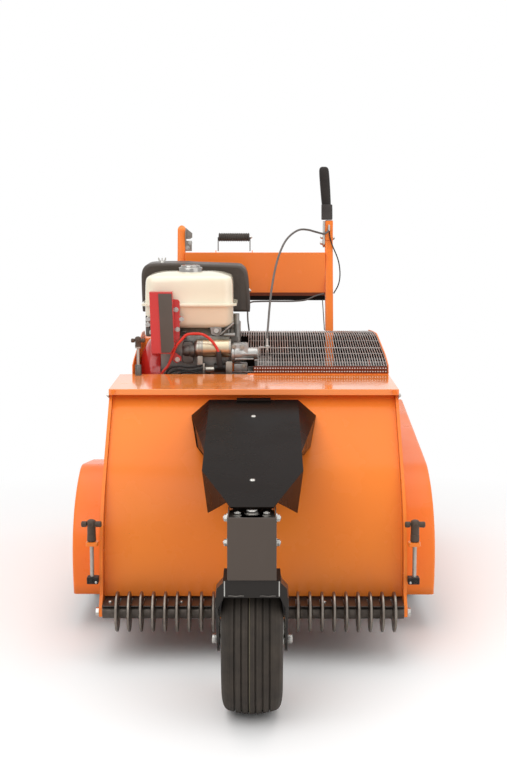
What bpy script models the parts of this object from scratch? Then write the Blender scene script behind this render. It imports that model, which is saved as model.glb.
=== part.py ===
"""Lawn overseeder: a walk-behind machine that cuts slots in turf and drops grass seed into them.

Metres, +Z up, the front of the machine towards -Y, ground at Z = 0.
Working coordinates have Y = 0 on the axis of the guide discs. The empty machine_frame carries
every piece and shifts them so that the middle of the footprint is on the world origin.
"""

import math

import bmesh
import bpy
from mathutils import Matrix, Vector

# Gaps and sheet gauges
GAP = 0.0004
SHEET = 0.003

# Overall layout
MACHINE_FRONT = -0.505
MACHINE_REAR = 1.352
PLATE_IN = 0.3755
PLATE_OUT = 0.3835
GUARD_OUT = 0.482

# Guide discs
DISC_COUNT = 24
DISC_PITCH = 0.030
DISC_ROW_SHIFT = 0.0065
DISC_RADIUS = 0.050
DISC_THICK = 0.006
DISC_HUB_RADIUS = 0.0165
DISC_AXIS = (0.0, 0.122)

# Side plates and hood: a vertical lower run, an arc, then a 45 degree run up to the top plate
PLATE_FRONT_Y = 0.012
PLATE_LOW_Z = 0.112
PLATE_ARC_RADIUS = 0.30
PLATE_SLOPE_BASE = 0.326
HOOD_FRONT_Y = 0.047
HOOD_LOW_Z = 0.148
HOOD_ARC_RADIUS = 0.40
HOOD_SLOPE_BASE = 0.309
TOP_FRONT_Y = 0.280
TOP_BACK_Y = 0.580
TOP_Z = 0.642
TOP_LIP = 0.016

# Castor
CASTOR_WHEEL = (-0.340, 0.165)
CASTOR_SWIVEL_Y = -0.425
TYRE_RADIUS = 0.165
TYRE_HALF_WIDTH = 0.0675
RIM_RADIUS = 0.0755
RIM_CLEARANCE = 0.0014
FORK_TOP_Z = 0.340
HEAD_Z = (0.345, 0.470)
ARM_Z = (0.350, 0.466)
COVER_TOP_Z = 0.478
ARM_HALF_WIDTH = 0.049

# Rotor and drive
ROTOR_AXIS = (0.300, 0.175)
KNIFE_RADII = (0.036, 0.130, 0.126, 0.040)
KNIFE_ANGLES = (-38, -4, 10, 52)
KNIFE_THICK = 0.004
DRIVE_AXIS = (0.800, 0.607)
ROTOR_GROOVE = 0.045
DRIVE_GROOVE = 0.040
BELT_X = (0.3605, 0.3705)
BELT_THICK = 0.006

# Rotor depth screw, in X and Y
ROTOR_SCREW = (-0.3285, 0.555)

# Rear axle
AXLE = (0.620, 0.165)
REAR_TYRE_X = (0.395, 0.470)

# Engine
DECK_Z = 0.475
DECK_BACK_Y = 1.060
ENGINE_X = (-0.275, -0.075)
TANK_FRONT_Y = 0.668

# Grid guard
GRID_X = (-0.020, 0.3800)
GRID_WIRES = 22
GRID_WIRES_AT_STARTER = 2
GRID_WIRE_WIDTH = 0.0026
GRID_PROFILE = ((0.588, 0.664), (0.638, 0.674), (0.780, 0.6965), (0.924, 0.720), (1.060, 0.717))

# Handle
UPRIGHT_X = (0.227, 0.252)
UPRIGHT_DEPTH = 0.040
UPRIGHT_FOOT = (1.061, 0.400)
UPRIGHT_BEND_Z = 0.520
UPRIGHT_LEAN = 0.26
UPRIGHT_TOP_Z = 1.045
BEAM_Z = (0.829, 0.961)

# Hopper
HOPPER_Y = (1.149, 1.340)
HOPPER_HALF_WIDTH = 0.360
HOPPER_TOP_Z = 0.680
METER_AXIS = (1.255, 0.455)
REAR_ROLLER_AXIS = (1.220, 0.060)
REAR_ROLLER_RADIUS = 0.060

# Colours, linear RGB
ORANGE = (0.87, 0.21, 0.035)
BLACK_PAINT = (0.030, 0.022, 0.018)
GREY_PAINT = (0.095, 0.080, 0.070)
CREAM = (0.93, 0.86, 0.68)
RED = (0.62, 0.045, 0.035)
ZINC = (0.62, 0.62, 0.60)
STEEL = (0.42, 0.38, 0.33)
RUBBER = (0.045, 0.038, 0.034)
PLASTIC = (0.060, 0.052, 0.048)
ALUMINIUM = (0.60, 0.60, 0.58)

AXIS_TURNS = {
    "X": Matrix(((0, 0, 1), (1, 0, 0), (0, 1, 0))),
    "Y": Matrix(((1, 0, 0), (0, 0, -1), (0, 1, 0))),
    "Z": Matrix.Identity(3),
}


def clear_scene():
    """Remove the objects of the opened scene."""
    for item in list(bpy.data.objects):
        bpy.data.objects.remove(item, do_unlink=True)


def new_collection(name):
    """Link an empty collection to the scene."""
    group = bpy.data.collections.new(name)
    bpy.context.scene.collection.children.link(group)
    return group


def finish_paint(name, colour, roughness, metallic=0.0):
    """Make a Principled material with one colour, roughness and metallic value."""
    paint = bpy.data.materials.new(name)
    paint.use_nodes = True
    shader = paint.node_tree.nodes["Principled BSDF"]
    shader.inputs["Base Color"].default_value = (*colour, 1.0)
    shader.inputs["Roughness"].default_value = roughness
    shader.inputs["Metallic"].default_value = metallic
    return paint


class Workshop:
    """Holds the collections and the empties that carry the pieces."""

    def __init__(self):
        self.parts = new_collection("lawn_overseeder")
        self.cutters = new_collection("cutters")
        shift = -(MACHINE_FRONT + MACHINE_REAR) / 2
        self.frame = self.empty("machine_frame", None, (0.0, shift, 0.0))

    def empty(self, name, parent, location):
        """Add an empty that carries pieces; its place is relative to its parent."""
        carrier = bpy.data.objects.new(name, None)
        carrier.empty_display_size = 0.05
        carrier.parent = parent
        carrier.location = location
        self.parts.objects.link(carrier)
        return carrier

    def add(self, name, data, finish, carrier, cutter=False):
        """Link an object that holds the mesh or curve, as a piece or as a hidden cutter."""
        piece = bpy.data.objects.new(name, data)
        piece.parent = carrier
        if finish is not None:
            colour, roughness, metallic = finish
            data.materials.append(finish_paint(name, colour, roughness, metallic))
        if cutter:
            piece.hide_render = True
            piece.display_type = "WIRE"
            self.cutters.objects.link(piece)
        else:
            self.parts.objects.link(piece)
        return piece


SHOP = None


def mesh_from(bm, name):
    """Turn a bmesh into mesh data with outward normals."""
    bmesh.ops.recalc_face_normals(bm, faces=bm.faces)
    data = bpy.data.meshes.new(name)
    bm.to_mesh(data)
    bm.free()
    return data


def smooth(data, angle=35.0):
    """Shade round faces smooth and keep the edges sharper than the angle."""
    data.shade_smooth()
    data.set_sharp_from_angle(angle=math.radians(angle))


def bevel(piece, width, segments=1):
    """Round the edges of a piece with a live Bevel modifier."""
    modifier = piece.modifiers.new("edges", "BEVEL")
    modifier.width = width
    modifier.segments = segments
    modifier.limit_method = "ANGLE"
    modifier.angle_limit = math.radians(40)


def box(name, finish, carrier, x, y, z, edge=0.0, segments=1, cutter=False):
    """A block between the low and high values on each axis, with bevelled edges."""
    bm = bmesh.new()
    bmesh.ops.create_cube(bm, size=1.0)
    size = Vector((x[1] - x[0], y[1] - y[0], z[1] - z[0]))
    centre = Vector((sum(x) / 2, sum(y) / 2, sum(z) / 2))
    bmesh.ops.scale(bm, vec=size, verts=bm.verts)
    bmesh.ops.translate(bm, vec=centre, verts=bm.verts)
    piece = SHOP.add(name, mesh_from(bm, name), finish, carrier, cutter)
    if edge:
        bevel(piece, edge, segments)
    return piece


def rod(name, finish, carrier, axis, centre, radius, span, sides=16, cutter=False):
    """A plain cylinder along an axis; centre holds the other two coordinates in X, Y, Z order."""
    bm = bmesh.new()
    length = span[1] - span[0]
    bmesh.ops.create_cone(bm, cap_ends=True, segments=sides, radius1=radius, radius2=radius, depth=length)
    turn = AXIS_TURNS[axis].to_4x4() if axis != "Y" else Matrix.Rotation(math.radians(90), 4, "X")
    bmesh.ops.transform(bm, matrix=turn, verts=bm.verts)
    middle = sum(span) / 2
    places = {"X": (middle, *centre), "Y": (centre[0], middle, centre[1]), "Z": (*centre, middle)}
    bmesh.ops.translate(bm, vec=Vector(places[axis]), verts=bm.verts)
    data = mesh_from(bm, name)
    smooth(data)
    return SHOP.add(name, data, finish, carrier, cutter)


def sheet_cut(name, finish, carrier, outline, axis, span, holes=(), cutter=False):
    """A flat outline with holes, filled and extruded along an axis between two values.

    Outline coordinates are (Y, Z) for axis X, (X, Z) for axis Y and (X, Y) for axis Z.
    """
    data = bpy.data.curves.new(name, "CURVE")
    data.dimensions = "2D"
    data.fill_mode = "BOTH"
    data.extrude = (span[1] - span[0]) / 2
    for loop in (outline, *holes):
        spline = data.splines.new("POLY")
        spline.points.add(len(loop) - 1)
        for point, (u, v) in zip(spline.points, loop):
            point.co = (u, v, 0.0, 1.0)
        spline.use_cyclic_u = True
    piece = SHOP.add(name, data, finish, carrier, cutter)
    turn = AXIS_TURNS[axis].to_4x4()
    middle = sum(span) / 2
    shift = {"X": (middle, 0, 0), "Y": (0, middle, 0), "Z": (0, 0, middle)}[axis]
    piece.matrix_local = Matrix.Translation(shift) @ turn
    return piece


def as_mesh(piece):
    """Replace a curve piece by the welded mesh of its evaluated shape, so that it can be cut."""
    bpy.context.view_layer.update()
    graph = bpy.context.evaluated_depsgraph_get()
    data = bpy.data.meshes.new_from_object(piece.evaluated_get(graph))
    bm = bmesh.new()
    bm.from_mesh(data)
    bmesh.ops.remove_doubles(bm, verts=bm.verts, dist=0.00001)
    bmesh.ops.recalc_face_normals(bm, faces=bm.faces)
    bm.to_mesh(data)
    bm.free()
    name = piece.name
    group = piece.users_collection[0]
    local = piece.matrix_local.copy()
    parent = piece.parent
    hidden = piece.hide_render
    bpy.data.objects.remove(piece, do_unlink=True)
    solid = bpy.data.objects.new(name, data)
    solid.parent = parent
    solid.matrix_local = local
    solid.hide_render = hidden
    if hidden:
        solid.display_type = "WIRE"
    group.objects.link(solid)
    return solid


def combine(piece, other, operation):
    """Cut, join or intersect a piece with a helper solid, by a live Boolean modifier."""
    modifier = piece.modifiers.new(other.name, "BOOLEAN")
    modifier.operation = operation
    modifier.solver = "EXACT"
    modifier.object = other


def turned(name, finish, carrier, profile, axis="X", centre=(0.0, 0.0), steps=24, ring=False):
    """A turned piece: (along, radius) points from the high end down the outer side, spun round the axis.

    A ring profile is closed and stays off the axis; the others start and end on it.
    """
    data = bpy.data.meshes.new(name)
    verts = [(radius, 0.0, along) for along, radius in profile]
    edges = [(i, i + 1) for i in range(len(verts) - 1)]
    if ring:
        edges.append((len(verts) - 1, 0))
    data.from_pydata(verts, edges, [])
    piece = SHOP.add(name, data, finish, carrier)
    if axis == "X":
        piece.rotation_euler = (0.0, math.pi / 2, 0.0)
        piece.location = (0.0, *centre)
    else:
        piece.location = (*centre, 0.0)
    screw = piece.modifiers.new("spin", "SCREW")
    screw.angle = 2 * math.pi
    screw.steps = steps
    screw.render_steps = steps
    screw.use_merge_vertices = True
    screw.merge_threshold = 0.00001
    screw.use_smooth_shade = True
    return piece


def tube(name, finish, carrier, points, radius, resolution=2):
    """A round bar or cable along a list of points."""
    data = bpy.data.curves.new(name, "CURVE")
    data.dimensions = "3D"
    data.bevel_depth = radius
    data.bevel_resolution = resolution
    data.use_fill_caps = True
    spline = data.splines.new("POLY")
    spline.points.add(len(points) - 1)
    for point, place in zip(spline.points, points):
        point.co = (*place, 1.0)
    return SHOP.add(name, data, finish, carrier)


def loft(name, finish, carrier, rings, closed=True):
    """Skin a row of rings that have equal point counts, with flat end caps when closed."""
    bm = bmesh.new()
    rows = [[bm.verts.new(point) for point in ring] for ring in rings]
    count = len(rings[0])
    for low, high in zip(rows, rows[1:]):
        for i in range(count):
            j = (i + 1) % count
            bm.faces.new((low[i], low[j], high[j], high[i]))
    if closed:
        bm.faces.new(rows[0][::-1])
        bm.faces.new(rows[-1])
    return SHOP.add(name, mesh_from(bm, name), finish, carrier)


def thicken(piece, thickness, even=True):
    """Give an open surface its sheet gauge, inwards, with a live Solidify modifier."""
    modifier = piece.modifiers.new("gauge", "SOLIDIFY")
    modifier.thickness = thickness
    modifier.offset = -1.0
    modifier.use_even_offset = even


def arc(centre, radius, start, end, count):
    """Points on an arc; the angles are in degrees from +U towards +V."""
    points = []
    for i in range(count + 1):
        angle = math.radians(start + (end - start) * i / count)
        points.append((centre[0] + radius * math.cos(angle), centre[1] + radius * math.sin(angle)))
    return points


def circle(centre, radius, count=12):
    """A closed ring of points."""
    return arc(centre, radius, 0.0, 360.0, count)[:-1]


def spline_through(points, spacing):
    """Read a smooth Catmull-Rom curve through the points at about the given spacing."""
    knots = [Vector(p) for p in points]
    knots = [2 * knots[0] - knots[1], *knots, 2 * knots[-1] - knots[-2]]
    line = []
    for a, b, c, d in zip(knots, knots[1:], knots[2:], knots[3:]):
        steps = max(2, round((c - b).length / spacing))
        for i in range(steps):
            t = i / steps
            bend = (2 * a - 5 * b + 4 * c - d) * t**2 + (3 * b - a - 3 * c + d) * t**3
            line.append(0.5 * (2 * b + (c - a) * t + bend))
    return [*line, knots[-2]]


def housing_line(front_y, slope_base, radius, low_z, high_z, count):
    """Front outline of the housing in (Y, Z): vertical, an arc, then 45 degrees with Y = Z - slope_base."""
    corner_z = front_y + slope_base
    reach = radius * math.tan(math.radians(22.5))
    bend = arc((front_y + radius, corner_z - reach), radius, 180.0, 135.0, count)
    return [(front_y, low_z), *bend, (high_z - slope_base, high_z)]


def build_side_plates():
    """The two plates that carry everything, with bores for the axles."""
    front = housing_line(PLATE_FRONT_Y, PLATE_SLOPE_BASE, PLATE_ARC_RADIUS, PLATE_LOW_Z, 0.626, 5)
    back = [
        (0.306, TOP_Z - SHEET - GAP),
        (0.575, TOP_Z - SHEET - GAP),
        (0.575, 0.620),
        (0.620, 0.500),
        (1.110, 0.500),
        (1.160, 0.600),
        (1.340, 0.600),
        (1.345, 0.400),
        (1.270, 0.035),
        (1.170, 0.035),
        (1.060, PLATE_LOW_Z),
    ]
    nose = [(-0.012, PLATE_LOW_Z), (-0.012, 0.134)]
    bores = [
        circle(DISC_AXIS, 0.0064),
        circle(ROTOR_AXIS, 0.0158),
        circle(AXLE, 0.0134),
        circle(METER_AXIS, 0.0087),
        circle(REAR_ROLLER_AXIS, 0.0087),
    ]
    for side, sign in (("left", -1), ("right", 1)):
        span = sorted((sign * PLATE_IN, sign * PLATE_OUT))
        lip = [nose[1], (PLATE_FRONT_Y, 0.165)]
        outline = [nose[0], *lip, *front[1:], *back]
        sheet_cut(f"side_plate_{side}", (ORANGE, 0.35, 0.0), SHOP.frame, outline, "X", span, bores)


def build_hood():
    """The curved front sheet, with a window for the castor arm."""
    under_top = TOP_Z - SHEET - GAP
    outer = housing_line(HOOD_FRONT_Y, HOOD_SLOPE_BASE, HOOD_ARC_RADIUS, HOOD_LOW_Z, under_top, 7)
    inner = []
    for index, (y, z) in enumerate(outer):
        before = Vector(outer[max(index - 1, 0)])
        after = Vector(outer[min(index + 1, len(outer) - 1)])
        along = (after - before).normalized()
        inner.append((y + SHEET * along.y, z - SHEET * along.x))
    inner[-1] = (outer[-1][0] + SHEET * math.sqrt(2), outer[-1][1])
    half = PLATE_IN - GAP
    outline = [*outer, *inner[::-1]]
    hood = as_mesh(sheet_cut("hood_front", (ORANGE, 0.25, 0.0), SHOP.frame, outline, "X", (-half, half)))
    window = ARM_HALF_WIDTH + 0.001
    cutter = box("arm_window", None, SHOP.frame, (-window, window), (0.02, 0.24), (0.344, 0.471),
                 cutter=True)
    combine(hood, cutter, "DIFFERENCE")


def build_top_plate():
    """The folded sheet over the hood: a channel with a front and a rear lip."""
    low = TOP_Z - TOP_LIP
    under = TOP_Z - SHEET
    outline = [
        (TOP_FRONT_Y, low),
        (TOP_FRONT_Y, TOP_Z),
        (TOP_BACK_Y, TOP_Z),
        (TOP_BACK_Y, low),
        (TOP_BACK_Y - SHEET, low),
        (TOP_BACK_Y - SHEET, under),
        (TOP_FRONT_Y + SHEET, under),
        (TOP_FRONT_Y + SHEET, low),
    ]
    plate = sheet_cut("top_plate", (ORANGE, 0.2, 0.0), SHOP.frame, outline, "X", (-PLATE_OUT, PLATE_OUT))
    plate = as_mesh(plate)
    bore = rod("rotor_screw_bore", None, SHOP.frame, "Z", ROTOR_SCREW, 0.0062, (0.60, 0.66), 12,
               cutter=True)
    combine(plate, bore, "DIFFERENCE")


def disc_places():
    """X of each guide disc, also of each knife behind it."""
    first = DISC_ROW_SHIFT - DISC_PITCH * (DISC_COUNT - 1) / 2
    return [first + DISC_PITCH * index for index in range(DISC_COUNT)]


def build_comb_plate():
    """The scraper: a plate whose fingers reach forward between the discs."""
    half = PLATE_IN - GAP
    front, slot_end, back = -0.020, 0.053, 0.074
    slot = DISC_THICK / 2 + 0.0025
    outline = [(-half, back), (-half, front)]
    for x in disc_places():
        outline += [(x - slot, front), (x - slot, slot_end)]
        outline += [(x + slot, slot_end), (x + slot, front)]
    outline += [(half, front), (half, back)]
    sheet_cut("comb_plate", (STEEL, 0.5, 0.6), SHOP.frame, outline, "Z", (0.1395, 0.1425))


def build_fin_bar():
    """The cross bar behind the discs with ten thin fins standing on it."""
    half = PLATE_IN - GAP
    low, top, fin_top = 0.095, 0.108, 0.126
    pitch, first, fin = 0.060, 0.354, 0.0015
    outline = [(-half, low), (-half, top)]
    places = [-first + pitch * i for i in range(5)]
    places += [first - pitch * i for i in reversed(range(5))]
    for x in places:
        outline += [(x - fin, top), (x - fin, fin_top), (x + fin, fin_top), (x + fin, top)]
    outline += [(half, top), (half, low)]
    sheet_cut("fin_bar", (ZINC, 0.45, 0.8), SHOP.frame, outline, "Y", (0.058, 0.072))


def build_disc_roller():
    """The row of guide discs turned on one hub, spinning about X, and the bolt at each end."""
    axis = SHOP.empty("disc_roller_axis", SHOP.frame, (0.0, *DISC_AXIS))
    end = PLATE_IN - GAP
    half = DISC_THICK / 2
    profile = [(end, 0.0), (end, DISC_HUB_RADIUS)]
    for x in reversed(disc_places()):
        profile += [(x + half, DISC_HUB_RADIUS), (x + half, DISC_RADIUS)]
        profile += [(x - half, DISC_RADIUS), (x - half, DISC_HUB_RADIUS)]
    profile += [(-end, DISC_HUB_RADIUS), (-end, 0.0)]
    turned("disc_roller", (STEEL, 0.45, 0.7), axis, profile, steps=10)
    for side, sign in (("left", -1), ("right", 1)):
        head = circle((0.0, 0.0), 0.011, 6)
        span = sorted((sign * (PLATE_OUT + GAP), sign * (PLATE_OUT + 0.0085)))
        bolt = sheet_cut(f"roller_bolt_{side}", (ZINC, 0.35, 0.9), SHOP.frame,
                         [(y + DISC_AXIS[0], z + DISC_AXIS[1]) for y, z in head], "X", span)
        bolt = as_mesh(bolt)
        reach = sorted((sign * (PLATE_IN + GAP), sign * (PLATE_OUT + 0.004)))
        shank = rod(f"roller_bolt_shank_{side}", None, SHOP.frame, "X", DISC_AXIS, 0.006, reach, 12,
                    cutter=True)
        combine(bolt, shank, "UNION")


def knife_ring(x, phase, radii):
    """Eight points round the shaft: two opposite arms of four corners, with the radius of each corner."""
    ring = []
    for arm in range(2):
        for angle, radius in zip(KNIFE_ANGLES, radii):
            turn = math.radians(phase + 180 * arm + angle)
            ring.append((x, radius * math.cos(turn), radius * math.sin(turn)))
    return ring


def even_ring(x, phase, radius):
    """Eight points round the shaft at the knife's angles, all at one radius."""
    return knife_ring(x, phase, (radius,) * 4)


def build_rotor():
    """The slotting rotor: a knife behind each guide disc, set in a helix round the shaft, and a pulley."""
    axis = SHOP.empty("rotor_axis", SHOP.frame, (0.0, *ROTOR_AXIS))
    shaft, journal, twist = 0.024, 0.0148, 22.5
    end = 0.3905
    shoulder = PLATE_IN - 0.001
    rings = [even_ring(-end, 0, journal), even_ring(-shoulder, 0, journal), even_ring(-shoulder, 0, shaft)]
    half = KNIFE_THICK / 2
    for index, x in enumerate(disc_places()):
        phase = twist * index
        rings += [even_ring(x - half, phase, shaft), knife_ring(x - half, phase, KNIFE_RADII)]
        rings += [knife_ring(x + half, phase, KNIFE_RADII), even_ring(x + half, phase, shaft)]
    flange = ROTOR_GROOVE + 0.005
    last = twist * (DISC_COUNT - 1)
    pulley = [(0.3575, shaft), (0.3575, flange), (0.3590, flange), (0.3600, ROTOR_GROOVE)]
    pulley += [(0.3710, ROTOR_GROOVE), (0.3720, flange), (0.3735, flange), (0.3735, shaft)]
    pulley += [(shoulder, shaft), (shoulder, journal), (end, journal)]
    rings += [even_ring(x, last, radius) for x, radius in pulley]
    loft("rotor", (STEEL, 0.5, 0.7), axis, rings)


def belt_loop(first, first_radius, second, second_radius, steps):
    """Outline of a belt round two pulleys: two arcs joined by their outer tangents."""
    start, end = Vector(first), Vector(second)
    line = end - start
    heading = math.degrees(math.atan2(line.y, line.x))
    lean = math.degrees(math.acos((first_radius - second_radius) / line.length))
    near = arc(first, first_radius, heading + lean, heading + 360 - lean, steps)
    far = arc(second, second_radius, heading - lean, heading + lean, steps)
    return near + far


def build_drive():
    """The drive shaft with clutch drum and pulley, and the belt down to the rotor."""
    axis = SHOP.empty("drive_shaft_axis", SHOP.frame, (0.0, *DRIVE_AXIS))
    shaft, drum, flange = 0.0125, 0.062, DRIVE_GROOVE + 0.005
    end = PLATE_IN - 0.001
    profile = [(end, 0.0), (end, shaft), (0.3735, shaft), (0.3735, flange), (0.3720, flange)]
    profile += [(0.3710, DRIVE_GROOVE), (0.3600, DRIVE_GROOVE), (0.3590, flange), (0.3575, flange)]
    profile += [(0.3575, shaft), (0.066, shaft), (0.066, 0.034), (0.052, 0.034), (0.052, drum)]
    profile += [(0.000, drum), (0.000, 0.030), (-0.020, 0.030), (-0.020, shaft), (ENGINE_X[1] + GAP, shaft)]
    profile += [(ENGINE_X[1] + GAP, 0.0)]
    turned("drive_shaft", (STEEL, 0.4, 0.8), axis, profile, steps=12)
    clear = 0.0006
    inner = belt_loop(ROTOR_AXIS, ROTOR_GROOVE + clear, DRIVE_AXIS, DRIVE_GROOVE + clear, 14)
    outer = belt_loop(ROTOR_AXIS, ROTOR_GROOVE + BELT_THICK, DRIVE_AXIS, DRIVE_GROOVE + BELT_THICK, 14)
    sheet_cut("rotor_belt", (RUBBER, 0.8, 0.0), SHOP.frame, outer, "X", BELT_X, [inner])


def tyre_profile(half_width, radius, bead, grooves):
    """Closed (along, radius) section of a tyre: beads, bulged walls, crowned tread with V grooves."""
    wall = half_width
    points = [(0.62 * wall, bead), (0.86 * wall, bead + 0.006), (wall, 0.42 * bead + 0.58 * radius)]
    points += [(0.97 * wall, radius - 0.024), (0.87 * wall, radius - 0.010)]
    outer = list(reversed(points))
    tread = []
    depth, half_groove = 0.005, 0.0024

    def crown(x):
        return radius - 0.008 * (x / (0.78 * wall)) ** 2

    for x in sorted(grooves, reverse=True):
        tread += [(x + half_groove, crown(x + half_groove)), (x, crown(x) - depth)]
        tread += [(x - half_groove, crown(x - half_groove))]
    if not tread:
        tread = [(0.78 * wall, crown(0.78 * wall)), (0.4 * wall, crown(0.4 * wall)), (0.0, radius)]
        tread += [(-0.4 * wall, crown(0.4 * wall)), (-0.78 * wall, crown(0.78 * wall))]
    right = [point for point in reversed(outer)]
    left = [(-along, reach) for along, reach in outer]
    return [*right, *tread, *left]


def build_castor():
    """The trailing castor: a fork that swivels about Z and a wheel that spins in it about X."""
    swivel = SHOP.empty("castor_swivel_axis", SHOP.frame, (0.0, CASTOR_SWIVEL_Y, 0.0))
    trail = CASTOR_WHEEL[0] - CASTOR_SWIVEL_Y
    spin = SHOP.empty("castor_spin_axis", swivel, (0.0, trail, CASTOR_WHEEL[1]))
    grooves = (-0.038, -0.023, -0.0075, 0.0075, 0.023, 0.038)
    section = tyre_profile(TYRE_HALF_WIDTH, TYRE_RADIUS, RIM_RADIUS, grooves)
    turned("castor_tyre", (RUBBER, 0.75, 0.0), spin, section, steps=20, ring=True)
    bore = 0.0104
    rim = RIM_RADIUS - RIM_CLEARANCE
    hub = [(0.046, bore), (0.046, 0.020), (0.020, 0.024), (0.016, rim - 0.012)]
    hub += [(0.040, rim - 0.006), (0.043, rim)]
    hub += [(-along, reach) for along, reach in reversed(hub)]
    turned("castor_hub", (CREAM, 0.4, 0.0), spin, hub, steps=12, ring=True)
    build_fork(swivel, trail)


def build_fork(swivel, trail):
    """The fork: a bent strap over the tyre, cut to the legs' side outline, with an apron and a stem."""
    crown, leg_in, leg_out, gauge = 0.062, 0.0730, 0.0790, 0.006
    top = FORK_TOP_Z
    shoulder, leg_top = 0.323, 0.301
    outside = [(-leg_out, 0.130), (-leg_out, leg_top), (-crown, shoulder), (-crown, top)]
    outside += [(-x, z) for x, z in reversed(outside)]
    neck = crown - gauge
    inside = [(leg_in, 0.130), (leg_in, leg_top - 0.002), (neck, shoulder - 0.001), (neck, top - gauge)]
    inside += [(-x, z) for x, z in reversed(inside)]
    front, back = -0.058, 0.040
    span = (front, trail + 0.04)
    section = [*outside, *inside]
    strap = as_mesh(sheet_cut("castor_fork", (BLACK_PAINT, 0.4, 0.0), swivel, section, "Y", span))
    boss = arc((trail, CASTOR_WHEEL[1]), 0.028, 0.0, -180.0, 8)
    side = [(front, top + 0.01), (back, top + 0.01), (back, 0.315), *boss]
    side += [(front + 0.006, 0.285), (front, 0.300)]
    legs = as_mesh(sheet_cut("fork_side_outline", None, swivel, side, "X", (-0.10, 0.10), cutter=True))
    combine(strap, legs, "INTERSECT")
    width = (-crown + 0.001, crown - 0.001)
    apron = box("fork_apron", None, swivel, width, (front + 0.0005, front + 0.006), (0.302, top - 0.001),
                cutter=True)
    combine(strap, apron, "UNION")
    reach = (top - 0.004, HEAD_Z[1] + 0.002)
    stem = rod("fork_stem", None, swivel, "Z", (0.0, 0.0), 0.0125, reach, 14, cutter=True)
    combine(strap, stem, "UNION")
    hub_centre = (trail, CASTOR_WHEEL[1])
    bore = rod("fork_axle_bore", None, swivel, "X", hub_centre, 0.0105, (-0.1, 0.1), 14, cutter=True)
    combine(strap, bore, "DIFFERENCE")
    collar, core, head = 0.0150, 0.0100, 0.0105
    outer = leg_out + GAP
    profile = [(outer + 0.011, 0.0), (outer + 0.011, 0.0105), (outer, head + 0.0005), (outer, core)]
    profile += [(leg_in - GAP, core), (leg_in - GAP, collar), (0.0465, collar), (0.0465, core)]
    profile += [(-along, reach) for along, reach in reversed(profile)]
    axle_axis = SHOP.empty("castor_axle_place", swivel, (0.0, trail, CASTOR_WHEEL[1]))
    turned("castor_axle", (ZINC, 0.35, 0.9), axle_axis, profile, steps=10)


def build_head():
    """The arm from inside the hood to the steering head, its cross tube, and the head cover."""
    y = CASTOR_SWIVEL_Y
    arm = box("castor_arm", (BLACK_PAINT, 0.45, 0.0), SHOP.frame, (-ARM_HALF_WIDTH, ARM_HALF_WIDTH),
              (y + 0.045, 0.215), ARM_Z, edge=0.006)
    head = rod("steering_head", None, SHOP.frame, "Z", (0.0, y), 0.032, HEAD_Z, 20, cutter=True)
    web = box("head_web", None, SHOP.frame, (-0.020, 0.020), (y + 0.01, y + 0.06),
              (ARM_Z[0] + 0.004, ARM_Z[1] - 0.004), cutter=True)
    half = PLATE_IN - GAP
    tube_box = box("cross_tube", None, SHOP.frame, (-half, half), (0.200, 0.260), (0.380, 0.440),
                   cutter=True)
    bore = rod("stem_bore", None, SHOP.frame, "Z", (0.0, y), 0.0131, (0.30, 0.50), 14, cutter=True)
    for helper in (head, web, tube_box):
        combine(arm, helper, "UNION")
    combine(arm, bore, "DIFFERENCE")
    front = y - 0.062
    side, back = ARM_HALF_WIDTH + 0.0005, y + 0.055
    outer = side + SHEET
    outline = [(-outer, back), (-outer, front), (outer, front), (outer, back)]
    outline += [(side, back), (side, front + SHEET), (-side, front + SHEET), (-side, back)]
    span = (FORK_TOP_Z + 0.001, COVER_TOP_Z)
    sheet_cut("head_cover", (GREY_PAINT, 0.4, 0.0), SHOP.frame, outline, "Z", span)


def build_nose_cover():
    """The folded cover over the arm: a sloping plate, flared side walls and a flap under each chamfer."""
    top = Vector((0.117, 0.283, 0.6135))
    corner = Vector((0.117, -0.213, 0.5236))
    tip = Vector((0.047, -0.420, 0.4860))
    wall = [Vector((0.164, 0.262, 0.5750)), Vector((0.148, 0.192, 0.5050)), Vector((0.130, 0.172, 0.4850))]
    wall_front = Vector((0.117, -0.092, 0.5456))
    flap = Vector((0.104, -0.212, 0.4240))
    bm = bmesh.new()

    def vert(place):
        return bm.verts.new(place)

    middle_top = vert((0.0, top.y, top.z))
    middle_tip = vert((0.0, tip.y, tip.z))
    corners = [vert(top), vert(wall_front), vert(corner), vert(tip)]
    flap_end = vert(tip.lerp(corner, 0.14))
    bm.faces.new((middle_top, *corners[:3], flap_end, corners[3], middle_tip))
    walls = [vert(place) for place in wall]
    bm.faces.new((corners[0], walls[0], walls[1], walls[2], corners[1]))
    bm.faces.new((corners[2], vert(flap), flap_end))
    bmesh.ops.recalc_face_normals(bm, faces=bm.faces)
    if bm.faces[:][0].normal.z < 0:
        bmesh.ops.reverse_faces(bm, faces=bm.faces)
    data = bpy.data.meshes.new("nose_cover")
    bm.to_mesh(data)
    bm.free()
    cover = SHOP.add("nose_cover", data, (BLACK_PAINT, 0.25, 0.0), SHOP.frame)
    mirror = cover.modifiers.new("other_half", "MIRROR")
    mirror.merge_threshold = 0.0001
    thicken(cover, 0.0030, even=False)
    box("battery", (PLASTIC, 0.5, 0.0), SHOP.frame, (-0.0835, 0.0835), (-0.060, 0.121),
        (ARM_Z[1] + GAP, 0.5440), edge=0.004)


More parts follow.
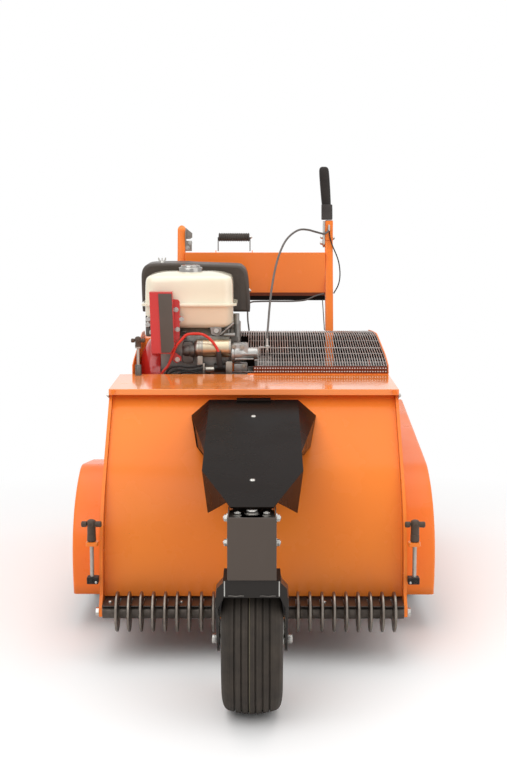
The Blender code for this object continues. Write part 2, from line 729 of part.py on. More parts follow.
def build_wheel_guards():
    """The folded guards over the rear wheels; the right one runs on to the rear."""
    front = [(0.252, 0.092), (0.240, 0.150), (0.238, 0.210), (0.252, 0.266), (0.292, 0.326), (0.355, 0.372)]
    front.append((0.442, 0.408))
    backs = {"left": [(0.735, 0.366), (0.870, 0.260), (0.890, 0.092)],
             "right": [(1.180, 0.486), (1.200, 0.330), (1.020, 0.170), (0.930, 0.092)]}
    for side, sign in (("left", -1), ("right", 1)):
        outline = [*front, *backs[side]]
        bm = bmesh.new()
        inner = [bm.verts.new((sign * (PLATE_OUT + GAP), y, z)) for y, z in outline]
        outer = [bm.verts.new((sign * GUARD_OUT, y, z)) for y, z in outline]
        for i in range(len(outline) - 1):
            bm.faces.new((inner[i], inner[i + 1], outer[i + 1], outer[i]))
        bm.faces.new(outer[::-1])
        bmesh.ops.recalc_face_normals(bm, faces=bm.faces)
        lead = max(bm.faces, key=lambda face: len(face.verts))
        if lead.normal.x * sign < 0:
            bmesh.ops.reverse_faces(bm, faces=bm.faces)
        data = bpy.data.meshes.new(f"wheel_guard_{side}")
        bm.to_mesh(data)
        bm.free()
        guard = SHOP.add(f"wheel_guard_{side}", data, (ORANGE, 0.3, 0.0), SHOP.frame)
        thicken(guard, SHEET)


def build_rear_axle():
    """The axle with a rim near each end, turned as one, and the two tyres on the rims."""
    axis = SHOP.empty("rear_axle_axis", SHOP.frame, (0.0, *AXLE))
    low, high = REAR_TYRE_X
    shaft, end = 0.0125, 0.4740
    rim = RIM_RADIUS - RIM_CLEARANCE
    profile = [(end, 0.0), (end, shaft), (high - 0.012, shaft), (high - 0.016, 0.033)]
    profile += [(high - 0.026, rim - 0.012), (high - 0.008, rim), (low + 0.008, rim)]
    profile += [(low + 0.034, rim - 0.016), (low + 0.030, 0.028), (low + 0.010, shaft)]
    profile += [(-along, reach) for along, reach in reversed(profile)]
    turned("rear_axle", (CREAM, 0.4, 0.2), axis, profile, steps=14)
    half = (high - low) / 2
    for side, sign in (("left", -1), ("right", 1)):
        middle = sign * (low + half)
        section = tyre_profile(half, TYRE_RADIUS, RIM_RADIUS, ())
        section = [(along + middle, reach) for along, reach in section]
        turned(f"rear_tyre_{side}", (RUBBER, 0.8, 0.0), axis, section, steps=14, ring=True)


def build_deck():
    """The channel that the engine stands on; it stops short of the belt on the right."""
    front, low = TOP_BACK_Y + 0.006, DECK_Z - 0.045
    gauge = 0.004
    outline = [(front, low), (front, DECK_Z), (DECK_BACK_Y, DECK_Z), (DECK_BACK_Y, low)]
    outline += [(DECK_BACK_Y - gauge, low), (DECK_BACK_Y - gauge, DECK_Z - gauge)]
    outline += [(front + gauge, DECK_Z - gauge), (front + gauge, low)]
    sheet_cut("engine_deck", (ORANGE, 0.4, 0.0), SHOP.frame, outline, "X", (-PLATE_IN + GAP, 0.350))


def rounded_box_ring(x, y, z, radius, corner_points=2):
    """Points of a rectangle with round corners, at one height."""
    ring = []
    corners = ((x[1] - radius, y[1] - radius, 0), (x[0] + radius, y[1] - radius, 90),
               (x[0] + radius, y[0] + radius, 180), (x[1] - radius, y[0] + radius, 270))
    for cx, cy, start in corners:
        ring += [(px, py, z) for px, py in arc((cx, cy), radius, start, start + 90, corner_points)]
    return ring


def grown(span, amount):
    """A span widened at both ends."""
    return (span[0] - amount, span[1] + amount)


def build_engine():
    """The engine: finned block, tank with its rim and cap, covers, starter, and the cable bracket."""
    block_front, block_back, fin_tip = 0.700, 0.965, 1.010
    top, rear_top = 0.7585, 0.7935
    outline = [(block_front, DECK_Z + GAP), (block_back, DECK_Z + GAP), (block_back, 0.560)]
    fins, pitch, gauge, first = 12, 0.0175, 0.006, 0.5800
    for index in range(fins):
        z = first + pitch * index
        outline += [(block_back, z), (fin_tip, z), (fin_tip, z + gauge), (block_back, z + gauge)]
    outline += [(block_back, rear_top), (0.880, rear_top), (0.880, top)]
    outline += [(block_front + 0.02, top), (block_front, top - 0.02)]
    block = as_mesh(sheet_cut("engine_block", (ALUMINIUM, 0.5, 0.5), SHOP.frame, outline, "X", ENGINE_X))
    bracket = box("cable_bracket", None, SHOP.frame, (ENGINE_X[1] - 0.01, 0.050), (0.701, 0.722),
                  (0.692, 0.696), cutter=True)
    combine(block, bracket, "UNION")
    x, y = (-0.3195, -0.0625), (TANK_FRONT_Y + 0.0115, 0.8585)
    levels = ((0.7600, -0.030), (0.7660, -0.010), (0.7800, 0.0), (0.8260, 0.0), (0.8280, 0.0110),
              (0.8340, 0.0110), (0.8360, 0.0), (0.8880, -0.003), (0.9010, -0.011), (0.9110, -0.028),
              (0.9180, -0.050))
    rings = []
    for z, grow in levels:
        rings.append(rounded_box_ring(grown(x, grow), grown(y, grow), z, max(0.030 + grow * 0.5, 0.012)))
    tank = loft("fuel_tank", (CREAM, 0.3, 0.0), SHOP.frame, rings)
    smooth(tank.data, 30)
    cap_axis = SHOP.empty("fuel_cap_axis", SHOP.frame, (-0.189, 0.765, 0.0))
    base = levels[-1][0] + GAP
    cap = [(base + 0.024, 0.0), (base + 0.024, 0.029), (base + 0.018, 0.0355), (base, 0.0355), (base, 0.0)]
    turned("fuel_cap", (ZINC, 0.2, 1.0), cap_axis, cap, axis="Z", steps=20)
    box("air_cleaner", (PLASTIC, 0.45, 0.0), SHOP.frame, (-0.345, -0.012), (0.872, 1.022), (0.794, 0.946),
        edge=0.014, segments=2)
    recoil = [(ENGINE_X[0] - GAP, 0.0), (ENGINE_X[0] - GAP, 0.116), (-0.306, 0.116), (-0.322, 0.104)]
    recoil += [(-0.340, 0.070), (-0.340, 0.0)]
    axis = SHOP.empty("crank_place", SHOP.frame, (0.0, *DRIVE_AXIS))
    turned("recoil_cover", (RED, 0.35, 0.0), axis, recoil, steps=20)
    panel = as_mesh(box("control_box", (RED, 0.35, 0.0), SHOP.frame, (-0.301, -0.231),
                        (0.625, TANK_FRONT_Y - GAP), (0.693, 0.873), edge=0.003))
    ear_y = TANK_FRONT_Y - 0.0045
    ear = box("panel_bracket", None, SHOP.frame, (-0.236, -0.207), (ear_y, ear_y + SHEET), (0.662, 0.846),
              cutter=True)
    combine(panel, ear, "UNION")
    box("muffler", (GREY_PAINT, 0.5, 0.6), SHOP.frame, (ENGINE_X[1] + GAP, -0.024), (0.800, 1.010),
        (0.675, 0.757), edge=0.008)
    build_starter(block_front)


def build_starter(block_front):
    """The starter: its motor, the cast gear case at its right end and the solenoid below, as one."""
    motor_y, motor_z, motor_radius = block_front - 0.0275, 0.706, 0.027
    motor = rod("starter_motor", (ZINC, 0.35, 0.9), SHOP.frame, "X", (motor_y, motor_z), motor_radius,
                (-0.172, -0.060), 14)
    gear_case = box("gear_case", None, SHOP.frame, (-0.066, 0.004), (0.653, block_front - 0.001),
                    (0.650, 0.719), edge=0.009, cutter=True)
    solenoid = rod("solenoid", None, SHOP.frame, "X", (motor_y - 0.003, 0.664), 0.0150, (-0.146, -0.058),
                   10, cutter=True)
    combine(motor, gear_case, "UNION")
    combine(motor, solenoid, "UNION")


def build_grid_guard():
    """The curved guard: wires that run front to back, tied by three cross bars, with the gaps open."""
    low, high = GRID_X
    pitch = (high - low - GRID_WIRE_WIDTH) / (GRID_WIRES - 1)
    columns = []
    for index in range(GRID_WIRES):
        start = low + pitch * index
        columns += [start, start + GRID_WIRE_WIDTH]
    bar = 0.006
    first, last = GRID_PROFILE[0], GRID_PROFILE[-1]
    middle = GRID_PROFILE[2]
    rows = [(first, True), ((first[0] + bar, first[1] + 0.0012), False)]
    rows.append(((middle[0] - bar / 2, middle[1] - 0.0005), True))
    rows.append(((middle[0] + bar / 2, middle[1] + 0.0005), False))
    rows += [(GRID_PROFILE[3], False), ((last[0] - bar, last[1]), True), (last, False)]
    bm = bmesh.new()
    table = {}

    def vert(column, row):
        if (column, row) not in table:
            y, z = rows[row][0]
            table[column, row] = bm.verts.new((columns[column], y, z))
        return table[column, row]

    for row in range(len(rows) - 1):
        for column in range(len(columns) - 1):
            wire = column % 2 == 0
            at_starter = column < 2 * GRID_WIRES_AT_STARTER and row < 2
            if (wire or rows[row][1]) and not at_starter:
                corners = (vert(column, row), vert(column + 1, row))
                bm.faces.new((*corners, vert(column + 1, row + 1), vert(column, row + 1)))
    data = bpy.data.meshes.new("grid_guard")
    bm.to_mesh(data)
    bm.free()
    grid = SHOP.add("grid_guard", data, (GREY_PAINT, 0.4, 0.7), SHOP.frame)
    thicken(grid, 0.0026)


def build_guard_plates():
    """The orange strip in front of the grid and the end plates that follow its curve."""
    rise = [(y, z + 0.006) for y, z in GRID_PROFILE[1:]]
    low = 0.500 + GAP
    right = [(0.586, 0.646), (0.588, 0.668), *rise, (1.075, 0.690), (1.084, low), (0.623, low)]
    span = (GRID_X[1] + GAP, PLATE_OUT)
    sheet_cut("guard_plate_right", (ORANGE, 0.35, 0.0), SHOP.frame, right, "X", span)
    foot = DECK_Z + GAP
    left = [(0.588, foot), (0.588, 0.668), *rise[:3], (1.000, 0.724), (1.040, 0.690), (1.040, foot)]
    sheet_cut("guard_plate_left", (ORANGE, 0.35, 0.0), SHOP.frame, left, "X", (-0.349, -0.346))
    gauge = (TOP_BACK_Y + GAP, TOP_BACK_Y + 0.0034)
    box("guard_strip", (ORANGE, 0.35, 0.0), SHOP.frame, GRID_X, gauge, (0.628, 0.6600))


def upright_front(z):
    """Y of the uprights' front face at a height."""
    return UPRIGHT_FOOT[0] + max(0.0, z - UPRIGHT_BEND_Z) * UPRIGHT_LEAN


def build_handle():
    """The uprights, the folded crossbeam between them and the rear handlebar with its grips."""
    y, z = UPRIGHT_FOOT
    depth, top = UPRIGHT_DEPTH, UPRIGHT_TOP_Z
    front_top = upright_front(top)
    crown = arc((front_top + depth / 2 - 0.004, top - depth / 2), depth / 2, 0.0, 180.0, 6)
    outline = [(y, z), (y + depth, z), (y + depth, UPRIGHT_BEND_Z), *crown, (y, UPRIGHT_BEND_Z)]
    for side, sign in (("left", -1), ("right", 1)):
        span = sorted(sign * x for x in UPRIGHT_X)
        sheet_cut(f"upright_{side}", (ORANGE, 0.35, 0.0), SHOP.frame, outline, "X", span)
    half = UPRIGHT_X[0] - GAP
    low, high = BEAM_Z
    face = upright_front((low + high) / 2) + 0.002
    lip = face + 0.022
    beam = [(face, low), (face, high), (lip, high), (lip, high - SHEET), (face + SHEET, high - SHEET),
            (face + SHEET, low + SHEET), (lip, low + SHEET), (lip, low)]
    sheet_cut("crossbeam", (ORANGE, 0.35, 0.0), SHOP.frame, beam, "X", (-half, half))
    bar_z, radius, reach = 0.930, 0.0125, 1.334
    start = upright_front(bar_z + radius) + depth + 0.002
    x = sum(UPRIGHT_X) / 2
    bend = 0.045
    corner = arc((-x + bend, reach - bend), bend, 180.0, 90.0, 5)
    left = [(-x, start, bar_z), *[(px, py, bar_z) for px, py in corner]]
    right = [(-px, py, pz) for px, py, pz in reversed(left)]
    tube("handlebar", (BLACK_PAINT, 0.4, 0.0), SHOP.frame, [*left, *right], radius)
    wall = 0.0165
    for side, sign in (("left", -1), ("right", 1)):
        low_x, high_x = sorted((sign * 0.060, sign * 0.180))
        grip = [(high_x, radius + GAP), (high_x, wall), (low_x, wall), (low_x, radius + GAP)]
        turned(f"handlebar_grip_{side}", (RUBBER, 0.8, 0.0), SHOP.frame, grip, centre=(reach, bar_z),
               steps=16, ring=True)


def build_levers():
    """The clutch lever at the right upright and the drive bail with its ribbed grip on the crossbeam."""
    pivot = (1.200, 0.990)
    axis = SHOP.empty("clutch_lever_axis", SHOP.frame, (0.0, *pivot))
    x = (0.2195, UPRIGHT_X[0] - GAP)
    boss = arc((0.0, 0.0), 0.014, 180.0, 360.0, 8)
    blade = [*boss, (0.008, 0.0710), (-0.010, 0.0710)]
    sheet_cut("clutch_lever", (ZINC, 0.4, 0.8), axis, blade, "X", x)
    middle = 0.2235
    levels = ((0.0714, 0.0165, -0.001), (0.108, 0.0175, -0.002), (0.113, 0.0125, -0.003),
              (0.165, 0.0145, -0.005), (0.225, 0.0150, -0.009), (0.240, 0.0135, -0.010),
              (0.2455, 0.008, -0.011))
    rings = [[(x, y, rise) for x, y in circle((middle, lean), radius, 12)] for rise, radius, lean in levels]
    loft("clutch_grip", (PLASTIC, 0.6, 0.0), axis, rings)
    bail_y = 1.186
    bail_axis = SHOP.empty("drive_bail_axis", SHOP.frame, (0.0, bail_y, BEAM_Z[1] + 0.0035))
    outer, inner = (-0.1245, -0.0125), (-0.1195, -0.0175)
    height = 0.0475
    frame = [(outer[0], -0.003), (outer[1], -0.003), (outer[1], height), (outer[0], height)]
    window = [(inner[0], 0.003), (inner[1], 0.003), (inner[1], height - 0.005), (inner[0], height - 0.005)]
    sheet_cut("drive_bail", (ZINC, 0.4, 0.8), bail_axis, frame, "Y", (-0.002, 0.002), [window])
    centre_z = height - 0.0025
    ribs = 6
    step = (inner[1] - inner[0] - 0.001) / ribs
    bore, valley, crest = 0.0040, 0.0118, 0.0140
    profile = [(inner[1] - 0.0005, bore)]
    for index in range(ribs):
        high = inner[1] - 0.0005 - step * index
        profile += [(high, valley), (high - 0.5 * step, crest)]
    profile += [(inner[0] + 0.0005, valley), (inner[0] + 0.0005, bore)]
    turned("bail_grip", (RUBBER, 0.7, 0.0), bail_axis, profile, centre=(0.0, centre_z), steps=8, ring=True)


def build_t_screw(name, axis, low, rod_top, stem_top, bar_z, rod_radius):
    """A T-handle screw about Z: steel rod, moulded stem and cross bar, joined as one."""
    screw = rod(name, (PLASTIC, 0.5, 0.0), axis, "Z", (0.0, 0.0), rod_radius, (low, rod_top + 0.004), 10)
    stem = rod(f"{name}_stem", None, axis, "Z", (0.0, 0.0), 0.0098, (rod_top, stem_top), 12, cutter=True)
    bar = box(f"{name}_bar", None, axis, (-0.025, 0.025), (-0.010, 0.010), bar_z, edge=0.005, cutter=True)
    combine(screw, stem, "UNION")
    combine(screw, bar, "UNION")


def build_screws():
    """The depth screws at the discs with their nut blocks, and the rotor screw in the top plate."""
    x, y = 0.4000, 0.0
    for side, sign in (("left", -1), ("right", 1)):
        axis = SHOP.empty(f"depth_screw_axis_{side}", SHOP.frame, (sign * x, y, 0.0))
        build_t_screw(f"depth_screw_{side}", axis, 0.186, 0.302, 0.345, (0.340, 0.360), 0.00475)
        span = sorted((sign * (PLATE_OUT + GAP), sign * 0.4125))
        block = box(f"depth_block_{side}", (PLASTIC, 0.5, 0.0), SHOP.frame, span, (-0.012, 0.014),
                    (0.195, 0.212), edge=0.0015)
        bore = rod(f"depth_block_bore_{side}", None, SHOP.frame, "Z", (sign * x, y), 0.0052, (0.15, 0.25),
                   12, cutter=True)
        combine(block, bore, "DIFFERENCE")
    axis = SHOP.empty("rotor_screw_axis", SHOP.frame, (*ROTOR_SCREW, 0.0))
    build_t_screw("rotor_screw", axis, 0.615, 0.725, 0.740, (0.736, 0.756), 0.0058)


def build_seeder():
    """The seed hopper and lid, the fluted metering roller in its throat, the chute and the press roller."""
    x = (-HOPPER_HALF_WIDTH, HOPPER_HALF_WIDTH)
    meter_y, meter_z = METER_AXIS
    throat = (meter_y - 0.036, meter_y + 0.036)

    def level(y, z):
        return [(x[0], y[0], z), (x[1], y[0], z), (x[1], y[1], z), (x[0], y[1], z)]

    rings = [level(throat, meter_z - 0.036), level(throat, meter_z + 0.030)]
    rings += [level(HOPPER_Y, 0.560), level(HOPPER_Y, HOPPER_TOP_Z)]
    hopper = loft("hopper", (ORANGE, 0.4, 0.0), SHOP.frame, rings, closed=False)
    thicken(hopper, 0.002)
    bore = rod("meter_bore", None, SHOP.frame, "X", METER_AXIS, 0.0087, (-0.4, 0.4), 12, cutter=True)
    combine(hopper, bore, "DIFFERENCE")
    hinge = (1.151, HOPPER_TOP_Z + 0.0022)
    lid_axis = SHOP.empty("hopper_lid_axis", SHOP.frame, (0.0, *hinge))
    reach = MACHINE_REAR - hinge[0]
    gauge = 0.002
    edge = -0.0012
    lid = [(edge, -0.0015), (reach - 0.004, -0.0015), (reach - 0.004, -0.022), (reach, -0.022)]
    lid += [(reach, gauge), (edge, gauge)]
    sheet_cut("hopper_lid", (ORANGE, 0.35, 0.0), lid_axis, lid, "X", (-0.366, 0.366))
    meter = SHOP.empty("metering_axis", SHOP.frame, (0.0, *METER_AXIS))
    flutes, tip, root = 8, 0.031, 0.025
    star = []
    for index in range(flutes):
        for part, radius in ((0.0, tip), (0.5, tip), (0.65, root), (0.85, root)):
            turn = 2 * math.pi * (index + part) / flutes
            star.append((radius * math.cos(turn), radius * math.sin(turn)))
    inside = HOPPER_HALF_WIDTH - 0.003
    span = (-inside, inside)
    roller = as_mesh(sheet_cut("metering_roller", (ALUMINIUM, 0.4, 0.8), meter, star, "X", span))
    end = PLATE_OUT + 0.006
    spindle = rod("metering_spindle", None, meter, "X", (0.0, 0.0), 0.0080, (-end, end), 12, cutter=True)
    combine(roller, spindle, "UNION")
    half = PLATE_IN - GAP
    chute = [(1.216, 0.414), (1.165, 0.300), (1.120, 0.150)]
    chute += [(y + 0.003, z - 0.001) for y, z in reversed(chute)]
    sheet_cut("seed_chute", (STEEL, 0.5, 0.5), SHOP.frame, chute, "X", (-half, half))
    press = SHOP.empty("rear_roller_axis", SHOP.frame, (0.0, *REAR_ROLLER_AXIS))
    shaft, drum = 0.0080, PLATE_IN - 0.0035
    profile = [(end, 0.0), (end, shaft), (drum, shaft), (drum, REAR_ROLLER_RADIUS)]
    profile += [(-along, reach) for along, reach in reversed(profile)]
    turned("rear_roller", (STEEL, 0.5, 0.6), press, profile, steps=16)


def build_cables():
    """The clutch cable from the lever bracket down to the engine, and the thin throttle cable."""
    clutch = [(0.2335, 1.178, 1.020), (0.213, 1.160, 1.039), (0.187, 1.150, 1.042), (0.142, 1.100, 1.037)]
    clutch += [(0.111, 1.060, 1.019), (0.090, 1.020, 0.994), (0.070, 0.970, 0.947), (0.055, 0.900, 0.885)]
    clutch += [(0.046, 0.830, 0.825), (0.040, 0.760, 0.762), (0.037, 0.716, 0.718), (0.036, 0.712, 0.699)]
    tube("clutch_cable", (GREY_PAINT, 0.6, 0.0), SHOP.frame, spline_through(clutch, 0.105), 0.0032)
    throttle = [(0.256, 1.185, 1.015), (0.260, 1.180, 0.995), (0.268, 1.170, 0.948), (0.275, 1.160, 0.9025)]
    throttle += [(0.270, 1.145, 0.857), (0.258, 1.133, 0.825)]
    tube("throttle_cable", (PLASTIC, 0.6, 0.0), SHOP.frame, spline_through(throttle, 0.030), 0.0018)


def main():
    """Build every piece of the machine."""
    global SHOP
    clear_scene()
    SHOP = Workshop()
    build_side_plates()
    build_hood()
    build_top_plate()
    build_comb_plate()
    build_fin_bar()
    build_disc_roller()
    build_rotor()
    build_drive()
    build_castor()
    build_head()
    build_nose_cover()
    build_wheel_guards()
    build_rear_axle()
    build_deck()
    build_engine()
    build_grid_guard()
    build_guard_plates()
    build_handle()
    build_levers()
    build_screws()
    build_seeder()
    build_cables()


main()
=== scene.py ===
"""Looks of a walk-behind lawn overseeder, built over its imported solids.

Metres, +Z up, the front of the machine towards -Y. The sizes in the classes are in the machine's
own coordinates, whose Y = 0 is the axis of the guide discs; FRAME_SHIFT brings them into the frame.
"""

from __future__ import annotations

import logging
import math
from dataclasses import dataclass, field
from enum import Enum
from typing import Sequence

import bmesh
import bpy
import numpy as np
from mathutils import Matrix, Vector


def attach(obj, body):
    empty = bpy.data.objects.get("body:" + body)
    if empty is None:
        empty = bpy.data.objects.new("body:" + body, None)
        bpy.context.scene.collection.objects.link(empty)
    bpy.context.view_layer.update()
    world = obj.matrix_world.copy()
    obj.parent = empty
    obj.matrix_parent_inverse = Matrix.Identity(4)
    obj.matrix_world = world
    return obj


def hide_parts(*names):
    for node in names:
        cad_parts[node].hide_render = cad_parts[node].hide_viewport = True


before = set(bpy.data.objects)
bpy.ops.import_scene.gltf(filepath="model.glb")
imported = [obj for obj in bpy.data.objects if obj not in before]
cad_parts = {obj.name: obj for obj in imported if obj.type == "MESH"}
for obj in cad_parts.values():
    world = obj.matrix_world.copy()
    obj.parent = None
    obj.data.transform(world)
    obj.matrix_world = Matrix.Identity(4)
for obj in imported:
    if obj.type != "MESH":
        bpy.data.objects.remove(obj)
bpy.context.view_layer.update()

LOG = logging.getLogger("overseeder")
FRAME_SHIFT = np.array([0.0, -0.4235, 0.0])
SIDES = (("left", -1), ("right", 1))
Point = Sequence[float]
Pair = tuple[float, float]
Triple = tuple[float, float, float]
Socket = bpy.types.NodeSocket
Coordinate = float | np.ndarray
EVEN = (4.0, 4.0, 4.0)


class Axis(Enum):
    """The direction that a turned or extruded shape runs along."""

    X = 0
    Y = 1
    Z = 2

    def place(self, along: Coordinate, first: Coordinate, second: Coordinate) -> np.ndarray:
        """Order three coordinates, each a number or an array, into points.

        Args:
            along: coordinates along this axis.
            first: the earlier one of the two other coordinates.
            second: the later one.

        Returns:
            An array whose last side is X, Y, Z.
        """
        parts = [first, second]
        parts.insert(self.value, along)
        return np.stack(np.broadcast_arrays(*parts), axis=-1)


@dataclass
class Surface:
    """A shape: its points, its four-sided faces and its many-sided end faces."""

    points: np.ndarray
    quads: np.ndarray
    ends: list[np.ndarray] = field(default_factory=list)

    def plus(self, *others: "Surface") -> "Surface":
        """Return this shape and the others as one."""
        points, quads, ends = [self.points], [self.quads], list(self.ends)
        shift = len(self.points)
        for other in others:
            points.append(other.points)
            quads.append(other.quads + shift)
            ends += [end + shift for end in other.ends]
            shift += len(other.points)
        return Surface(np.vstack(points), np.vstack(quads), ends)

    def moved(self, x: float = 0.0, y: float = 0.0, z: float = 0.0) -> "Surface":
        """Return the shape shifted."""
        return Surface(self.points + np.array([x, y, z]), self.quads, self.ends)

    def mirrored(self) -> "Surface":
        """Return the shape seen in a mirror at X = 0."""
        ends = [end[::-1] for end in self.ends]
        return Surface(self.points * np.array([-1.0, 1.0, 1.0]), self.quads[:, ::-1], ends)

    def both_sides(self) -> "Surface":
        """Return the shape with its mirror image."""
        return self.plus(self.mirrored())

    def turned(self, axis: Axis, degrees: float, about: Point = (0.0, 0.0, 0.0)) -> "Surface":
        """Return the shape turned by the right-hand rule: the two other coordinates mix by cosine and sine."""
        angle = math.radians(degrees)
        i, j = [(1, 2), (2, 0), (0, 1)][axis.value]
        local = self.points - np.array(about)
        spun = local.copy()
        spun[:, i] = local[:, i] * math.cos(angle) - local[:, j] * math.sin(angle)
        spun[:, j] = local[:, i] * math.sin(angle) + local[:, j] * math.cos(angle)
        return Surface(spun + np.array(about), self.quads, self.ends)

    def copies(self, places: Sequence[Point]) -> "Surface":
        """Return one copy at each of the places, each place added to every point."""
        places = np.asarray(places, float)
        count, size = len(places), len(self.points)
        points = (self.points[None] + places[:, None]).reshape(-1, 3)
        quads = (self.quads[None] + (np.arange(count) * size)[:, None, None]).reshape(-1, 4)
        ends = [end + index * size for index in range(count) for end in self.ends]
        return Surface(points, quads, ends)


def joined(shapes: Sequence[Surface]) -> Surface:
    """Return several shapes as one."""
    return shapes[0].plus(*shapes[1:])


def skin(points: np.ndarray, round_rows: bool = False, round_columns: bool = False,
         ends: bool = False) -> Surface:
    """Cover a grid of points with quads.

    Args:
        points: rows by columns by three.
        round_rows: whether the last row joins the first.
        round_columns: whether the last column joins the first.
        ends: whether the first and last row are closed by an end face.

    Returns:
        The covered surface.
    """
    rows, columns = points.shape[:2]
    index = np.arange(rows * columns).reshape(rows, columns)
    caps = [index[0, ::-1].copy(), index[-1].copy()] if ends else []
    if round_rows:
        index = np.vstack([index, index[:1]])
    if round_columns:
        index = np.hstack([index, index[:, :1]])
    quads = np.stack([index[:-1, :-1], index[:-1, 1:], index[1:, 1:], index[1:, :-1]], axis=-1).reshape(-1, 4)
    return Surface(points.reshape(-1, 3), quads, caps)


def spin(profile: Sequence[Point], axis: Axis, centre: Point = (0.0, 0.0), steps: int = 24,
         ring: bool = False) -> Surface:
    """Turn a profile round an axis: each (along, radius) point goes to radius times cosine and sine.

    Args:
        profile: (along, radius) points; with radius 0 at both ends, or a closed ring.
        axis: the axis of the turning.
        centre: the two other coordinates of the axis.
        steps: how many sides.
        ring: whether the last profile point joins the first.

    Returns:
        The turned surface.
    """
    along, radius = np.array(profile, float).T[:, :, None]
    turn = np.linspace(0.0, 2 * math.pi, steps, endpoint=False)[None]
    points = axis.place(along, centre[0] + radius * np.cos(turn), centre[1] + radius * np.sin(turn))
    return skin(points, round_rows=ring, round_columns=True)


def lathe(profile: Sequence[Point], axis: Axis, centre: Point = (0.0, 0.0), steps: int = 24) -> Surface:
    """Turn a profile and close it by a flat disc at each end. Arguments are as in spin."""
    return spin([(profile[0][0], 0.0), *profile, (profile[-1][0], 0.0)], axis, centre, steps)


def cylinder(span: Point, radius: float, axis: Axis, centre: Point = (0.0, 0.0), steps: int = 24) -> Surface:
    """Turn a plain cylinder between two places along an axis."""
    return lathe([(along, radius) for along in span], axis, centre, steps)


def both_ends(profile: Sequence[Point]) -> list[Point]:
    """Follow a profile by its mirror image, backwards, so that both ends of a turned part are alike."""
    return [*profile, *((-along, radius) for along, radius in reversed(profile))]


def prism(outline: Sequence[Point], axis: Axis, span: Point) -> Surface:
    """Carry a flat outline straight along an axis: the same points at both ends of the span."""
    flat = np.array(outline, float)[None]
    along = np.array(span, float)[:, None]
    return skin(axis.place(along, flat[..., 0], flat[..., 1]), round_columns=True, ends=True)


def slab(x: Point, y: Point, z: Point) -> Surface:
    """Give a block between two values on each axis."""
    return prism([(x[0], y[0]), (x[1], y[0]), (x[1], y[1]), (x[0], y[1])], Axis.Z, z)


def round_corners(steps: int) -> np.ndarray:
    """Return the angles of the points on four quarter arcs, one corner after another."""
    return (np.arange(4)[:, None] * math.pi / 2 + np.linspace(0.0, math.pi / 2, steps)[None]).ravel()


def soft_block(first: Point, second: Point, along: Point, axis: Axis, corner: float, edge: float,
               steps: int = 5) -> Surface:
    """A block whose corners are arcs and whose end edges are quarter rounds.

    The outline's corner centres stay put. A ring is drawn in by edge times one less the sine of an angle,
    while it moves in from the end by edge times one less its cosine.

    Args:
        first: low and high of the earlier outline coordinate.
        second: low and high of the later one.
        along: low and high along the axis.
        axis: the axis that the outline is carried along.
        corner: radius of the outline's corners, at least edge.
        edge: radius of the two ends' edges.
        steps: points on each quarter round.

    Returns:
        The closed block.
    """
    quarter = np.linspace(0.0, math.pi / 2, steps)
    drawn, risen = edge * (1 - np.sin(quarter)), edge * (1 - np.cos(quarter))
    height = np.concatenate([along[0] + risen, along[1] - risen[::-1]])
    drawn = np.concatenate([drawn, drawn[::-1]])
    angle = round_corners(steps)
    centre_u = np.repeat([first[1] - corner, first[0] + corner, first[0] + corner, first[1] - corner], steps)
    centre_v = np.repeat([second[1] - corner, second[1] - corner, second[0] + corner, second[0] + corner],
                         steps)
    reach = (corner - drawn)[:, None]
    points = axis.place(height[:, None], centre_u + reach * np.cos(angle), centre_v + reach * np.sin(angle))
    return skin(points, round_columns=True, ends=True)


def ringed(middle: np.ndarray, half: np.ndarray, corner: np.ndarray, heights: np.ndarray,
           steps: int = 8) -> Surface:
    """Stack rounded rectangles: at each height four quarter arcs stand round the corner centres.

    Args:
        middle: (X, Y) of each ring's middle.
        half: half its width and half its depth.
        corner: radius of its corners.
        heights: its Z.
        steps: points on each quarter arc.

    Returns:
        The closed shell.
    """
    angle = round_corners(steps)
    sign_x, sign_y = np.repeat([1, -1, -1, 1], steps)[None], np.repeat([1, 1, -1, -1], steps)[None]
    corner = np.broadcast_to(np.asarray(corner, float), heights.shape)[:, None]
    x = middle[:, :1] + sign_x * (half[:, :1] - corner) + corner * np.cos(angle)
    y = middle[:, 1:] + sign_y * (half[:, 1:] - corner) + corner * np.sin(angle)
    return skin(Axis.Z.place(heights[:, None], x, y), round_columns=True, ends=True)


def sweep(path: Sequence[Point], radius: float | np.ndarray, sides: int = 12,
          up: Point = (1.0, 0.0, 0.0)) -> Surface:
    """Carry a circle along a path; the circle's two directions are square to the path, the first also to up.

    Args:
        path: the points of the centre line.
        radius: one radius, or one for each point.
        sides: sides of the circle.
        up: a direction that the path never follows.

    Returns:
        The closed bar.
    """
    path = np.asarray(path, float)
    heading = np.gradient(path, axis=0)
    heading /= np.linalg.norm(heading, axis=1, keepdims=True)
    side = np.cross(heading, np.array(up, float))
    side /= np.linalg.norm(side, axis=1, keepdims=True)
    over = np.cross(side, heading)
    turn = np.linspace(0.0, 2 * math.pi, sides, endpoint=False)[None, :, None]
    reach = np.broadcast_to(np.asarray(radius, float), (len(path),))[:, None, None]
    points = path[:, None] + reach * (np.cos(turn) * side[:, None] + np.sin(turn) * over[:, None])
    return skin(points, round_columns=True, ends=True)


